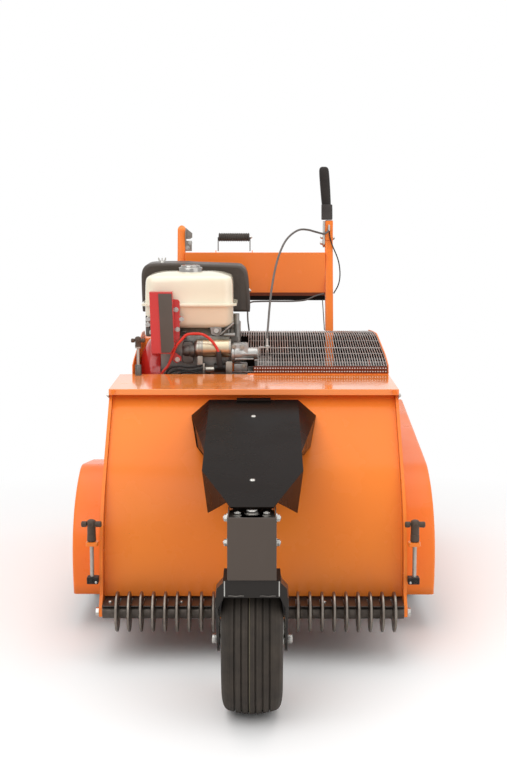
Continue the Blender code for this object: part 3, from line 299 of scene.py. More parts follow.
def flowing(knots: Sequence[Point], count: int) -> np.ndarray:
    """Sample the smooth curve through knots: between two knots, a cubic whose slope at each is half the
    step between that knot's neighbours.

    Args:
        knots: the places that the curve passes.
        count: how many points to return, evenly shared among the knots.

    Returns:
        The points.
    """
    line = np.array(knots, float)
    line = np.vstack([2 * line[0] - line[1], line, 2 * line[-1] - line[-2]])
    at = np.linspace(0.0, len(line) - 3 - 1e-9, count)
    index = at.astype(int)
    t = (at - index)[:, None]
    a, b, c, d = (line[index + k] for k in range(4))
    bend = (2 * a - 5 * b + 4 * c - d) * t**2 + (3 * b - a - 3 * c + d) * t**3
    return 0.5 * (2 * b + (c - a) * t + bend)


def arc(centre: Point, radius: float, start: float, end: float, count: int) -> list[Pair]:
    """Points on an arc from one angle to another, in degrees."""
    angle = np.radians(np.linspace(start, end, count))
    return list(zip(centre[0] + radius * np.cos(angle), centre[1] + radius * np.sin(angle)))


def eased(corners: Sequence[Point], radius: float, steps: int = 5) -> list[Pair]:
    """Round the inner corners of a flat line: each becomes a curve from a point before it to one after it.

    The curve's points are the corner weighted with the two points, by the square law of a parabola.

    Args:
        corners: the line's points.
        radius: how far from the corner the curve starts, at most 0.45 of the shorter side.
        steps: points on each curve.

    Returns:
        The rounded line.
    """
    line = [np.array(point, float) for point in corners]
    rounded = [tuple(line[0])]
    t = np.linspace(0.0, 1.0, steps)[:, None]
    for before, corner, after in zip(line, line[1:], line[2:]):
        short = min(np.linalg.norm(before - corner), np.linalg.norm(after - corner))
        reach = min(radius, 0.45 * short)
        start = corner + (before - corner) * reach / np.linalg.norm(before - corner)
        end = corner + (after - corner) * reach / np.linalg.norm(after - corner)
        rounded += [tuple(p) for p in (1 - t) ** 2 * start + 2 * t * (1 - t) * corner + t**2 * end]
    return [*rounded, tuple(line[-1])]


def bolt_head(axis: Axis, direction: int, across: float = 0.013, height: float = 0.006) -> Surface:
    """A hexagon head with a chamfered top on a round washer, standing on the plane through the origin."""
    radius = across / math.sqrt(3)
    washer, chamfer, thread = 0.0014, 0.001, 0.0016
    head = [(washer, radius), (height - chamfer, radius), (height, radius * 0.84)]
    return joined([cylinder((0.0, washer * direction), radius * 1.28, axis),
                   lathe([(a * direction, r) for a, r in head], axis, steps=6),
                   cylinder((height * direction, (height + thread) * direction), radius * 0.45, axis,
                            steps=12)])


def round_head(axis: Axis, direction: int, radius: float = 0.0045, height: float = 0.0025) -> Surface:
    """A domed screw head with a shallow round socket, standing on the plane through the origin."""
    turn = np.linspace(0.0, math.pi / 2, 6)
    dome = [(0.0, radius), *zip(height * np.sin(turn), radius * np.cos(turn) * 0.62 + radius * 0.38)]
    socket = [(height, radius * 0.36), (height * 0.45, radius * 0.34)]
    return lathe([(a * direction, r) for a, r in [*dome, *socket]], axis)


class Graph:
    """Short calls that build one material's nodes on Object coordinates."""

    def __init__(self, name: str) -> None:
        """Start a material with one Principled shader."""
        self.material = bpy.data.materials.new(name)
        self.material.use_nodes = True
        self.tree = self.material.node_tree
        self.shader = self.tree.nodes["Principled BSDF"]
        self.place = self.node("ShaderNodeTexCoord").outputs["Object"]

    def node(self, kind: str, **settings: object) -> bpy.types.Node:
        """Add a node and set its properties."""
        made = self.tree.nodes.new(kind)
        for key, value in settings.items():
            setattr(made, key, value)
        return made

    def put(self, entry: Socket, value: object) -> None:
        """Fill one input: a socket is linked, and a value is set."""
        if isinstance(value, Socket):
            self.tree.links.new(value, entry)
        else:
            entry.default_value = value

    def feed(self, node: bpy.types.Node, **values: object) -> bpy.types.Node:
        """Fill inputs by name, an underscore for a blank."""
        for key, value in values.items():
            self.put(node.inputs[key.replace("_", " ")], value)
        return node

    def noise(self, scale: float, detail: float = 3.0, stretch: Point = (1.0, 1.0, 1.0),
              roughness: float = 0.5) -> Socket:
        """Cloudy noise over the object, stretched by three factors."""
        mapping = self.feed(self.node("ShaderNodeMapping"), Vector=self.place, Scale=stretch)
        texture = self.node("ShaderNodeTexNoise")
        self.feed(texture, Vector=mapping.outputs[0], Scale=scale, Detail=detail, Roughness=roughness)
        return texture.outputs["Fac"]

    def cells(self, scale: float, stretch: Point = (1.0, 1.0, 1.0)) -> Socket:
        """Distance to the nearest of scattered points."""
        mapping = self.feed(self.node("ShaderNodeMapping"), Vector=self.place, Scale=stretch)
        texture = self.feed(self.node("ShaderNodeTexVoronoi"), Vector=mapping.outputs[0], Scale=scale)
        return texture.outputs["Distance"]

    def band(self, value: Socket, low: float, high: float, to_low: float = 0.0, to_high: float = 1.0) -> Socket:
        """Map a range of a value onto another, held at its ends."""
        node = self.feed(self.node("ShaderNodeMapRange"), Value=value)
        for index, number in enumerate((low, high, to_low, to_high), start=1):
            node.inputs[index].default_value = number
        return node.outputs[0]

    def math(self, operation: str, first: object, second: object) -> Socket:
        """Combine two values, each a socket or a number."""
        node = self.node("ShaderNodeMath", operation=operation)
        for entry, value in zip(node.inputs, (first, second)):
            self.put(entry, value)
        return node.outputs[0]

    def mix(self, factor: Socket, first: object, second: object) -> Socket:
        """Mix two colours, each a socket or three numbers, by a factor."""
        node = self.node("ShaderNodeMix", data_type="RGBA")
        self.tree.links.new(factor, node.inputs[0])
        for entry, value in ((node.inputs[6], first), (node.inputs[7], second)):
            self.put(entry, value if isinstance(value, Socket) else (*value, 1.0))
        return node.outputs[2]

    def bump(self, height: Socket, depth: float, strength: float = 1.0, over: Socket | None = None) -> Socket:
        """Turn a height into a normal, with the depth in metres."""
        node = self.feed(self.node("ShaderNodeBump"), Height=height, Distance=depth, Strength=strength)
        if over is not None:
            self.tree.links.new(over, node.inputs["Normal"])
        return node.outputs[0]

    def done(self, **values: object) -> bpy.types.Material:
        """Fill the shader's inputs and return the material."""
        self.feed(self.shader, **values)
        self.material.diffuse_color = (0.5, 0.5, 0.5, 1.0)
        return self.material


@dataclass(frozen=True)
class PowderCoat:
    """Baked paint: a soft cloud of two near shades, an orange-peel skin, faint rubbed streaks and dust."""

    name: str
    colour: Triple
    shade: Triple
    roughness: float = 0.28
    coat: float = 0.35
    peel: float = 0.00005
    dust: float = 0.05
    shine: float = 0.5

    def material(self) -> bpy.types.Material:
        """Build the paint."""
        graph = Graph(self.name)
        cloud = graph.band(graph.noise(2.4, 2.0), 0.35, 0.68)
        base = graph.mix(cloud, self.shade, self.colour)
        rubbed = graph.band(graph.noise(26.0, 6.0, (1.0, 1.0, 0.22)), 0.6, 0.74, 0.0, self.dust)
        pale = tuple(0.75 * c + 0.1 for c in self.colour)
        base = graph.mix(rubbed, base, pale)
        specks = graph.band(graph.noise(310.0, 2.0), 0.735, 0.76, 0.0, 0.45)
        base = graph.mix(specks, base, tuple(0.45 * c for c in self.colour))
        polish = graph.band(graph.noise(9.0, 5.0), 0.3, 0.7, self.roughness - 0.06, self.roughness + 0.07)
        skin_normal = graph.bump(graph.noise(520.0, 2.0), self.peel, 0.55)
        return graph.done(Base_Color=base, Roughness=polish, Normal=skin_normal, Coat_Weight=self.coat,
                          Coat_Roughness=0.06, Specular_IOR_Level=self.shine)


@dataclass(frozen=True)
class Steel:
    """Bare or plated metal: fine lines drawn along one way, cloudy tarnish and small pits."""

    name: str
    colour: Triple
    tarnish: Triple
    roughness: float = 0.32
    metallic: float = 1.0
    lines: Triple = (1.0, 1.0, 12.0)
    stained: float = 0.5

    def material(self) -> bpy.types.Material:
        """Build the metal."""
        graph = Graph(self.name)
        stain = graph.band(graph.noise(34.0, 6.0, roughness=0.62), 0.42, 0.72, 0.0, self.stained)
        base = graph.mix(stain, self.colour, self.tarnish)
        drawn = graph.noise(160.0, 3.0, self.lines)
        polish = graph.math("ADD", graph.band(drawn, 0.3, 0.7, self.roughness - 0.08, self.roughness + 0.08),
                            graph.math("MULTIPLY", stain, 0.18))
        grooved = graph.bump(drawn, 0.00006, 0.5)
        pitted = graph.bump(graph.noise(420.0, 2.0), 0.00005, 0.35, grooved)
        return graph.done(Base_Color=base, Roughness=polish, Metallic=self.metallic, Normal=pitted)


@dataclass(frozen=True)
class CastAlloy:
    """Sand-cast aluminium: a grainy skin, dark grime in cloudy patches and a dull shine."""

    name: str
    colour: Triple
    grime: Triple
    roughness: float = 0.42

    def material(self) -> bpy.types.Material:
        """Build the casting."""
        graph = Graph(self.name)
        cast = graph.noise(230.0, 5.0, roughness=0.65)
        dirt = graph.band(graph.noise(22.0, 7.0, roughness=0.66), 0.46, 0.7, 0.0, 0.75)
        base = graph.mix(dirt, self.colour, self.grime)
        polish = graph.band(cast, 0.3, 0.7, self.roughness - 0.1, self.roughness + 0.14)
        return graph.done(Base_Color=base, Roughness=polish, Metallic=0.85,
                          Normal=graph.bump(cast, 0.0003, 0.8))


@dataclass(frozen=True)
class Moulding:
    """Moulded plastic: a pebbled grain, a slight bloom and smoother rubbed places."""

    name: str
    colour: Triple
    bloom: Triple
    roughness: float = 0.46
    grain: float = 700.0
    shine: float = 0.3

    def material(self) -> bpy.types.Material:
        """Build the plastic."""
        graph = Graph(self.name)
        cloud = graph.band(graph.noise(14.0, 6.0), 0.42, 0.72, 0.0, 0.6)
        base = graph.mix(cloud, self.colour, self.bloom)
        pebbles = graph.cells(self.grain)
        polish = graph.band(graph.noise(7.0, 4.0), 0.3, 0.7, self.roughness - 0.07, self.roughness + 0.09)
        return graph.done(Base_Color=base, Roughness=polish, Normal=graph.bump(pebbles, 0.00018, 0.45),
                          Specular_IOR_Level=self.shine)


@dataclass(frozen=True)
class Rubber:
    """Rubber: matt, faintly streaked round the tread, and dusted in cloudy patches."""

    name: str
    colour: Triple
    dust: Triple
    amount: float = 0.5
    roughness: float = 0.78
    streak: Triple = (60.0, 1.0, 1.0)

    def material(self) -> bpy.types.Material:
        """Build the rubber."""
        graph = Graph(self.name)
        streaks = graph.noise(5.0, 6.0, self.streak, 0.6)
        worn = graph.band(graph.noise(18.0, 7.0, roughness=0.65), 0.38, 0.74, 0.0, self.amount)
        base = graph.mix(worn, self.colour, self.dust)
        base = graph.mix(graph.band(streaks, 0.45, 0.75, 0.0, 0.35), base, tuple(0.5 * c for c in self.colour))
        polish = graph.band(streaks, 0.3, 0.7, self.roughness - 0.12, self.roughness + 0.1)
        grain = graph.bump(graph.noise(650.0, 3.0), 0.00022, 0.6)
        return graph.done(Base_Color=base, Roughness=polish, Normal=graph.bump(streaks, 0.0002, 0.3, grain),
                          Specular_IOR_Level=0.25)


@dataclass(frozen=True)
class Enamel:
    """Sprayed gloss enamel on a pressed tank or cover: near even, with a fine ripple."""

    name: str
    colour: Triple
    shade: Triple
    roughness: float = 0.16

    def material(self) -> bpy.types.Material:
        """Build the enamel."""
        graph = Graph(self.name)
        base = graph.mix(graph.band(graph.noise(5.0, 5.0), 0.35, 0.7), self.colour, self.shade)
        specks = graph.band(graph.noise(240.0, 2.0), 0.73, 0.76, 0.0, 0.3)
        base = graph.mix(specks, base, tuple(0.6 * c for c in self.shade))
        polish = graph.band(graph.noise(16.0, 4.0), 0.3, 0.7, self.roughness - 0.05, self.roughness + 0.08)
        return graph.done(Base_Color=base, Roughness=polish,
                          Normal=graph.bump(graph.noise(90.0, 2.0), 0.00006, 0.4), Coat_Weight=0.5,
                          Coat_Roughness=0.04)


Coat = PowderCoat | Steel | CastAlloy | Moulding | Rubber | Enamel

ORANGE = PowderCoat("orange_powder_coat", (0.89, 0.225, 0.03), (0.86, 0.192, 0.026), 0.3, 0.05, shine=0.22)
# Painted light: the crossbeam's orange, painted lighter and with more coat to make up for the shade it stands
# in.
LIT_ORANGE_BEAM = PowderCoat("orange_beam_lit_paint", (0.93, 0.235, 0.04), (0.9, 0.205, 0.034), 0.24, 0.25, 0.00004,
                         0.03, 0.2)
# Partly painted light: the top plate's gloss is its own, and its colour is painted lighter than the other
# orange for the light from above.
LIT_ORANGE_GLOSS = PowderCoat("orange_gloss_lit_plate", (0.95, 0.275, 0.046), (0.93, 0.245, 0.04), 0.14, 0.5, 0.00003,
                          0.03, 0.5)
ORANGE_HOOD = PowderCoat("orange_hood_paint", (0.9, 0.245, 0.034), (0.87, 0.205, 0.028), 0.26, 0.05, 0.00004,
                         0.03, 0.18)
# Painted shade: the orange paint darkened for the band behind the guard's wires and the fold under the
# crossbeam.
SHADED_ORANGE = PowderCoat("shaded_orange_strip", (0.17, 0.033, 0.009), (0.12, 0.022, 0.006), 0.4, 0.1, shine=0.2)
# The nose cover's own black; the same finish also paints shade on the sheets inside the guard and the bar under
# the crossbeam.
BLACK_SHEET = PowderCoat("black_folded_sheet", (0.012, 0.0085, 0.0072), (0.009, 0.0065, 0.0055), 0.26, 0.0,
                         0.00005, 0.02, 0.02)
BLACK_FRAME = PowderCoat("black_frame_paint", (0.022, 0.017, 0.014), (0.014, 0.011, 0.009), 0.34, 0.05, 0.0001,
                         0.06, 0.25)
COMB_PAINT = PowderCoat("brown_comb_paint", (0.062, 0.046, 0.038), (0.04, 0.029, 0.024), 0.34, 0.1, 0.00008,
                        0.08, 0.35)
GREY_COVER = PowderCoat("grey_cover_paint", (0.083, 0.063, 0.051), (0.072, 0.055, 0.044), 0.38, 0.05, 0.00006,
                        0.03, 0.25)
RED_PAINT = PowderCoat("red_cover_paint", (0.62, 0.03, 0.024), (0.5, 0.02, 0.018), 0.2, 0.35, 0.00004, 0.03,
                       0.4)
CREAM = Enamel("cream_tank_enamel", (0.82, 0.76, 0.6), (0.79, 0.72, 0.55))
RIM_WHITE = Enamel("cream_rim_enamel", (0.8, 0.76, 0.66), (0.7, 0.65, 0.55), 0.3)
ZINC = Steel("zinc_plate", (0.52, 0.505, 0.475), (0.31, 0.285, 0.25), 0.28, 1.0, (1.0, 1.0, 4.0), 0.35)
CHROME = Steel("polished_chrome", (0.34, 0.325, 0.305), (0.2, 0.19, 0.18), 0.16, 1.0, (1.0, 1.0, 1.0), 0.3)
DISC_STEEL = Steel("ground_disc_steel", (0.255, 0.223, 0.192), (0.09, 0.068, 0.053), 0.32, 0.9, (1.0, 8.0, 8.0),
                   0.6)
TUBE_STEEL = Steel("roller_tube", (0.105, 0.088, 0.075), (0.045, 0.034, 0.027), 0.42, 0.75, (1.0, 6.0, 6.0),
                   0.7)
END_STEEL = Steel("starter_end_steel", (0.4, 0.375, 0.325), (0.23, 0.21, 0.175), 0.36, 1.0, (1.0, 4.0, 4.0),
                  0.5)
ROD_STEEL = Steel("threaded_rod", (0.46, 0.41, 0.365), (0.26, 0.22, 0.18), 0.4, 0.95, (1.0, 1.0, 4.0), 0.5)
WORN_STEEL = Steel("worn_brown_steel", (0.24, 0.19, 0.15), (0.1, 0.07, 0.05), 0.46, 0.75, (6.0, 1.0, 1.0), 0.8)
ROLLED_STEEL = Steel("rolled_grey_steel", (0.3, 0.285, 0.27), (0.205, 0.18, 0.158), 0.4, 0.85, (1.0, 5.0, 5.0),
                     0.4)
GUARD_WIRE = Steel("guard_wire", (0.5, 0.47, 0.445), (0.23, 0.21, 0.195), 0.34, 0.9, (1.0, 6.0, 1.0), 0.5)
EXHAUST = Steel("exhaust_steel", (0.3, 0.275, 0.25), (0.13, 0.1, 0.08), 0.42, 0.9, (1.0, 4.0, 1.0), 0.7)
ALLOY = CastAlloy("cast_engine_alloy", (0.34, 0.33, 0.31), (0.08, 0.075, 0.07))
BRIGHT_ALLOY = CastAlloy("bright_cast_alloy", (0.42, 0.41, 0.39), (0.12, 0.11, 0.1), 0.36)
DARK_ALLOY = CastAlloy("dark_cast_parts", (0.13, 0.12, 0.11), (0.035, 0.03, 0.028), 0.5)
BLACK_PLASTIC = Moulding("black_moulding", (0.02, 0.0165, 0.0145), (0.034, 0.029, 0.026), shine=0.2)
TEE_PLASTIC = Moulding("tee_moulding", (0.078, 0.053, 0.039), (0.1, 0.07, 0.052), 0.5, shine=0.2)
ROLLER_FOAM = Moulding("bail_roller_moulding", (0.058, 0.048, 0.041), (0.076, 0.064, 0.056), 0.55, shine=0.2)
CLEANER_PLASTIC = Moulding("air_cleaner_moulding", (0.072, 0.059, 0.051), (0.086, 0.072, 0.064), 0.42,
                           shine=0.2)
PANEL_PLASTIC = Moulding("dark_panel", (0.09, 0.076, 0.064), (0.108, 0.092, 0.08), 0.45)
TREAD = Rubber("castor_tread", (0.034, 0.028, 0.023), (0.08, 0.062, 0.048), 0.6)
REAR_TREAD = Rubber("rear_tread", (0.028, 0.024, 0.021), (0.06, 0.05, 0.042), 0.5)
GRIP_RUBBER = Rubber("grip_rubber", (0.024, 0.021, 0.02), (0.045, 0.04, 0.037), 0.4, 0.6, EVEN)
BOOT_RUBBER = Rubber("boot_rubber", (0.05, 0.044, 0.041), (0.08, 0.072, 0.066), 0.5, 0.55, EVEN)
BELT_RUBBER = Rubber("belt_rubber", (0.02, 0.018, 0.018), (0.04, 0.036, 0.034), 0.3, 0.6, EVEN)
SHEATH = Rubber("cable_sheath", (0.11, 0.096, 0.088), (0.17, 0.15, 0.135), 0.5, 0.45, (8.0, 8.0, 8.0))
RED_LEAD = Rubber("red_lead", (0.66, 0.045, 0.03), (0.72, 0.08, 0.055), 0.4, 0.4, EVEN)
MOULD_LINE = Rubber("mould_line_rubber", (0.2, 0.18, 0.11), (0.12, 0.1, 0.07), 0.6, 0.7, EVEN)
GOLD_ZINC = Steel("yellow_zinc", (0.56, 0.48, 0.34), (0.34, 0.27, 0.18), 0.32, 0.95, (1.0, 1.0, 3.0), 0.4)


class Body(Enum):
    """The moving bodies of the frame that pieces ride on."""

    CHASSIS = "chassis"
    FORK = "castor_fork_body"
    CASTOR = "castor_wheel_body"
    DISCS = "disc_roller_body"
    DRIVE = "drive_shaft_body"
    ROTOR = "rotor_body"
    AXLE = "rear_axle_body"
    METER = "metering_body"
    PRESS = "rear_roller_body"
    LEVER = "clutch_lever_body"
    BAIL = "drive_bail_body"
    SCREW_LEFT = "depth_screw_left_body"
    SCREW_RIGHT = "depth_screw_right_body"
    SCREW_ROTOR = "rotor_screw_body"
    CAP = "fuel_cap_body"
    LID = "hopper_lid_body"


class Bench:
    """Makes each piece of the scene: its mesh, its finish, and the body that it rides on.

    The constants are merging distances in metres, and angles.
    """

    MERGE = 0.000004
    SLIVER = 0.000002
    NODE_MERGE = 0.00002
    FLAT = math.radians(0.6)
    KEEN = math.radians(30.0)

    def __init__(self) -> None:
        """Start with no finishes and no pieces."""
        self.finishes: dict[str, bpy.types.Material] = {}
        self.count = 0

    def finish(self, coat: Coat) -> bpy.types.Material:
        """Return the material of a finish, built once."""
        if coat.name not in self.finishes:
            self.finishes[coat.name] = coat.material()
        return self.finishes[coat.name]

    def lay(self, name: str, surface: Surface, body: Body, coat: Coat, stands_for: Sequence[str] = (),
            edge: float = 0.0, edge_steps: int = 2, sharp: float = 38.0,
            gauge: float = 0.0) -> bpy.types.Object:
        """Make a piece from a surface.

        Args:
            name: the piece's name.
            surface: its shape in the machine's coordinates.
            body: the body that it rides on.
            coat: its finish.
            stands_for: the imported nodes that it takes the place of.
            edge: width of the rounding on its sharp edges, 0 for none.
            edge_steps: steps in that rounding.
            sharp: the angle, in degrees, past which an edge stays sharp.
            gauge: sheet thickness laid inwards on an open surface, 0 for none.

        Returns:
            The finished object.
        """
        mesh = bpy.data.meshes.new(name)
        faces = [*surface.quads.tolist(), *(end.tolist() for end in surface.ends)]
        mesh.from_pydata((surface.points + FRAME_SHIFT).tolist(), [], faces)
        bm = bmesh.new()
        bm.from_mesh(mesh)
        bmesh.ops.remove_doubles(bm, verts=bm.verts, dist=self.MERGE)
        bmesh.ops.dissolve_degenerate(bm, edges=bm.edges, dist=self.SLIVER)
        bmesh.ops.recalc_face_normals(bm, faces=bm.faces)
        return self.close(name, mesh, bm, body, coat, stands_for, edge, edge_steps, sharp, gauge)

    def close(self, name: str, mesh: bpy.types.Mesh, bm: bmesh.types.BMesh, body: Body, coat: Coat,
              stands_for: Sequence[str], edge: float, edge_steps: int, sharp: float,
              gauge: float) -> bpy.types.Object:
        """Round the edges, shade, dress and attach a piece whose points are ready. Arguments are as in lay."""
        if edge:
            keen = [e for e in bm.edges if len(e.link_faces) == 2 and e.calc_face_angle(0.0) > self.KEEN]
            bmesh.ops.bevel(bm, geom=keen, offset=edge, segments=edge_steps, profile=0.5, affect="EDGES",
                            clamp_overlap=True)
        bm.to_mesh(mesh)
        bm.free()
        mesh.shade_smooth()
        mesh.set_sharp_from_angle(angle=math.radians(sharp))
        piece = bpy.data.objects.new(name, mesh)
        bpy.context.scene.collection.objects.link(piece)
        if gauge:
            sheet = piece.modifiers.new("gauge", "SOLIDIFY")
            sheet.thickness = gauge
            sheet.offset = -1.0
            sheet.use_even_offset = True
        if edge:
            flat = piece.modifiers.new("flats", "WEIGHTED_NORMAL")
            flat.keep_sharp = True
        mesh.materials.append(self.finish(coat))
        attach(piece, body.value)
        if stands_for:
            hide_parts(*stands_for)
        self.count += 1
        LOG.info("%s rides on %s: %d faces, %s", name, body.value, len(mesh.polygons), coat.name)
        return piece

    def soften(self, node: str, name: str, body: Body, coat: Coat, edge: float = 0.0012, edge_steps: int = 2,
               sharp: float = 38.0) -> bpy.types.Object:
        """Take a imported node's own shape as a piece, with its flats joined and its edges rounded."""
        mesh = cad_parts[node].data.copy()
        mesh.name = name
        mesh.materials.clear()
        bm = bmesh.new()
        bm.from_mesh(mesh)
        bmesh.ops.remove_doubles(bm, verts=bm.verts, dist=self.NODE_MERGE)
        bmesh.ops.dissolve_limit(bm, angle_limit=self.FLAT, verts=bm.verts, edges=bm.edges)
        bmesh.ops.recalc_face_normals(bm, faces=bm.faces)
        return self.close(name, mesh, bm, body, coat, (node,), edge, edge_steps, sharp, 0.0)


def folded_line(front_y: float, base: float, radius: float, low_z: float, high_z: float, count: int,
                inset: float = 0.0) -> np.ndarray:
    """The front line of the housing: upright, then an arc that leans to 45 degrees, then straight up the slope.

    Args:
        front_y: Y of the upright run.
        base: the slope's Z less its Y.
        radius: the arc's radius, round (front_y + radius, front_y + base - radius tan 22.5 degrees).
        low_z: where the line starts.
        high_z: where it ends.
        count: points on the arc.
        inset: how far inside the sheet's outer face.

    Returns:
        The (Y, Z) points.
    """
    centre = (front_y + radius, front_y + base - radius * math.tan(math.radians(22.5)))
    turn = np.radians(np.linspace(180.0, 135.0, count))
    reach = radius - inset
    bend = np.stack([centre[0] + reach * np.cos(turn), centre[1] + reach * np.sin(turn)], axis=1)
    slope_y = high_z - base + inset * math.sqrt(2)
    return np.vstack([[bend[0, 0], low_z], bend, [slope_y, high_z]])


@dataclass(frozen=True)
class Housing:
    """Side plates, curved hood, folded top plate, and the discs' comb and fin bar."""

    inner: float = 0.3755
    outer: float = 0.3835
    gauge: float = 0.003
    hood_z: Pair = (0.148, 0.6386)
    window_z: Pair = (0.344, 0.471)
    window_half: float = 0.05

    def hood(self, bench: Bench) -> None:
        """Roll the hood as a smooth sheet: left and right runs beside the window, joined over and under it."""
        half, run, below, beside, above = self.inner - 0.0004, 9, 12, 12, 9
        columns = np.concatenate([np.linspace(-half, -self.window_half, run),
                                  np.linspace(self.window_half, half, run)])
        heights = np.concatenate([np.linspace(self.hood_z[0], self.window_z[0], below),
                                  np.linspace(*self.window_z, beside)[1:],
                                  np.linspace(self.window_z[1], self.hood_z[1], above)[1:]])
        sheets = []
        for inset in (0.0, self.gauge):
            y, z = folded_line(0.047, 0.309, 0.4, *self.hood_z, 40, inset).T
            place = Axis.X.place(columns[None], np.interp(heights, z, y)[:, None], heights[:, None])
            sheets.append(skin(place))
        cells = np.ones((len(heights) - 1, len(columns) - 1), bool)
        cells[below - 1:below + beside - 2, run - 1] = False
        faces, back = sheets[0].quads[cells.ravel()], len(sheets[0].points)
        edges = np.vstack([faces[:, [k, (k + 1) % 4]] for k in range(4)])
        _, first, counts = np.unique(np.sort(edges, axis=1), axis=0, return_index=True, return_counts=True)
        rim = edges[first[counts == 1]]
        walls = np.stack([rim[:, 1], rim[:, 0], rim[:, 0] + back, rim[:, 1] + back], axis=1)
        surface = Surface(np.vstack([sheet.points for sheet in sheets]),
                          np.vstack([faces, faces[:, ::-1] + back, walls]))
        bench.lay("hood", surface, Body.CHASSIS, ORANGE_HOOD, ["hood_front"], sharp=30.0)

    def build(self, bench: Bench) -> None:
        """Lay the sheets."""
        for side, _ in SIDES:
            bench.soften(f"side_plate_{side}", f"side_sheet_{side}", Body.CHASSIS, ORANGE, 0.001)
        self.hood(bench)
        bench.soften("top_plate", "top_sheet", Body.CHASSIS, LIT_ORANGE_GLOSS, 0.0014, 3)
        bench.soften("comb_plate", "comb_sheet", Body.CHASSIS, COMB_PAINT, 0.0006)
        bench.soften("fin_bar", "fin_sheet", Body.CHASSIS, EXHAUST, 0.0006)
        for side, _ in SIDES:
            bench.soften(f"roller_bolt_{side}", f"disc_bolt_{side}", Body.CHASSIS, ZINC, 0.0012)
        self.fasteners(bench)

    def fasteners(self, bench: Bench) -> None:
        """Lay the corner screws of the top plate, the hood and comb screws, and the bearing flanges behind."""
        across = bolt_head(Axis.X, 1, 0.01, 0.005).moved(self.outer, 0.29, 0.6245)
        under = round_head(Axis.Y, -1, 0.0042, 0.0022).moved(0.3524, 0.316, 0.6227)
        comb = round_head(Axis.Z, 1, 0.0065, 0.0036)
        places = [(x, 0.015, 0.1425) for x in (-0.358, -0.18, 0.178, 0.354)]
        plate, hub = 0.3865, 0.3915
        flange = lathe([(self.outer, 0.034), (plate, 0.034), (plate, 0.02), (hub, 0.0175)], Axis.X, steps=32)
        small = bolt_head(Axis.X, 1, 0.01, 0.005)
        ring = [small.moved(plate, 0.027 * math.cos(turn), 0.027 * math.sin(turn)) for turn in (0.5, 2.6, 4.71)]
        bearing = flange.plus(*ring)
        bearings = bearing.moved(0.0, 1.22, 0.06).plus(bearing.moved(0.0, 1.255, 0.455))
        bench.lay("corner_screws", across.plus(under).both_sides().plus(comb.copies(places)), Body.CHASSIS,
                  ZINC)
        bench.lay("rear_bearings", bearings.both_sides(), Body.CHASSIS, DARK_ALLOY)
        studs = lathe([(0.274, 0.0062), (0.2785, 0.0062), (0.28, 0.0048)], Axis.Y, (0.3714, 0.6343), 20)
        bench.lay("corner_rivets", studs.both_sides(), Body.CHASSIS, ORANGE)


@dataclass(frozen=True)
class NoseCover:
    """The folded black cover over the arm, with its screws and the battery under it."""

    slope: float = 10.3

    def build(self, bench: Bench) -> None:
        """Lay the cover, the battery and the screws."""
        bench.soften("nose_cover", "nose_sheet", Body.CHASSIS, BLACK_SHEET, 0.0008)
        case = soft_block((-0.0835, 0.0835), (-0.06, 0.121), (0.4664, 0.544), Axis.Z, 0.008, 0.004)
        bench.lay("battery_case", case, Body.CHASSIS, BLACK_PLASTIC, ["battery"])
        screw = round_head(Axis.Z, 1, 0.0065, 0.003).turned(Axis.X, self.slope)
        bench.lay("nose_screws", screw.moved(0.0, 0.153, 0.59).plus(screw.moved(0.0, -0.27, 0.513)),
                  Body.CHASSIS, ZINC)
        lip = prism([(0.262, 0.611), (0.2835, 0.615), (0.2835, 0.6185), (0.279, 0.6188), (0.262, 0.6152)],
                    Axis.X, (-0.045, 0.045))
        bench.lay("nose_lip", lip, Body.CHASSIS, BLACK_SHEET, edge=0.0008)


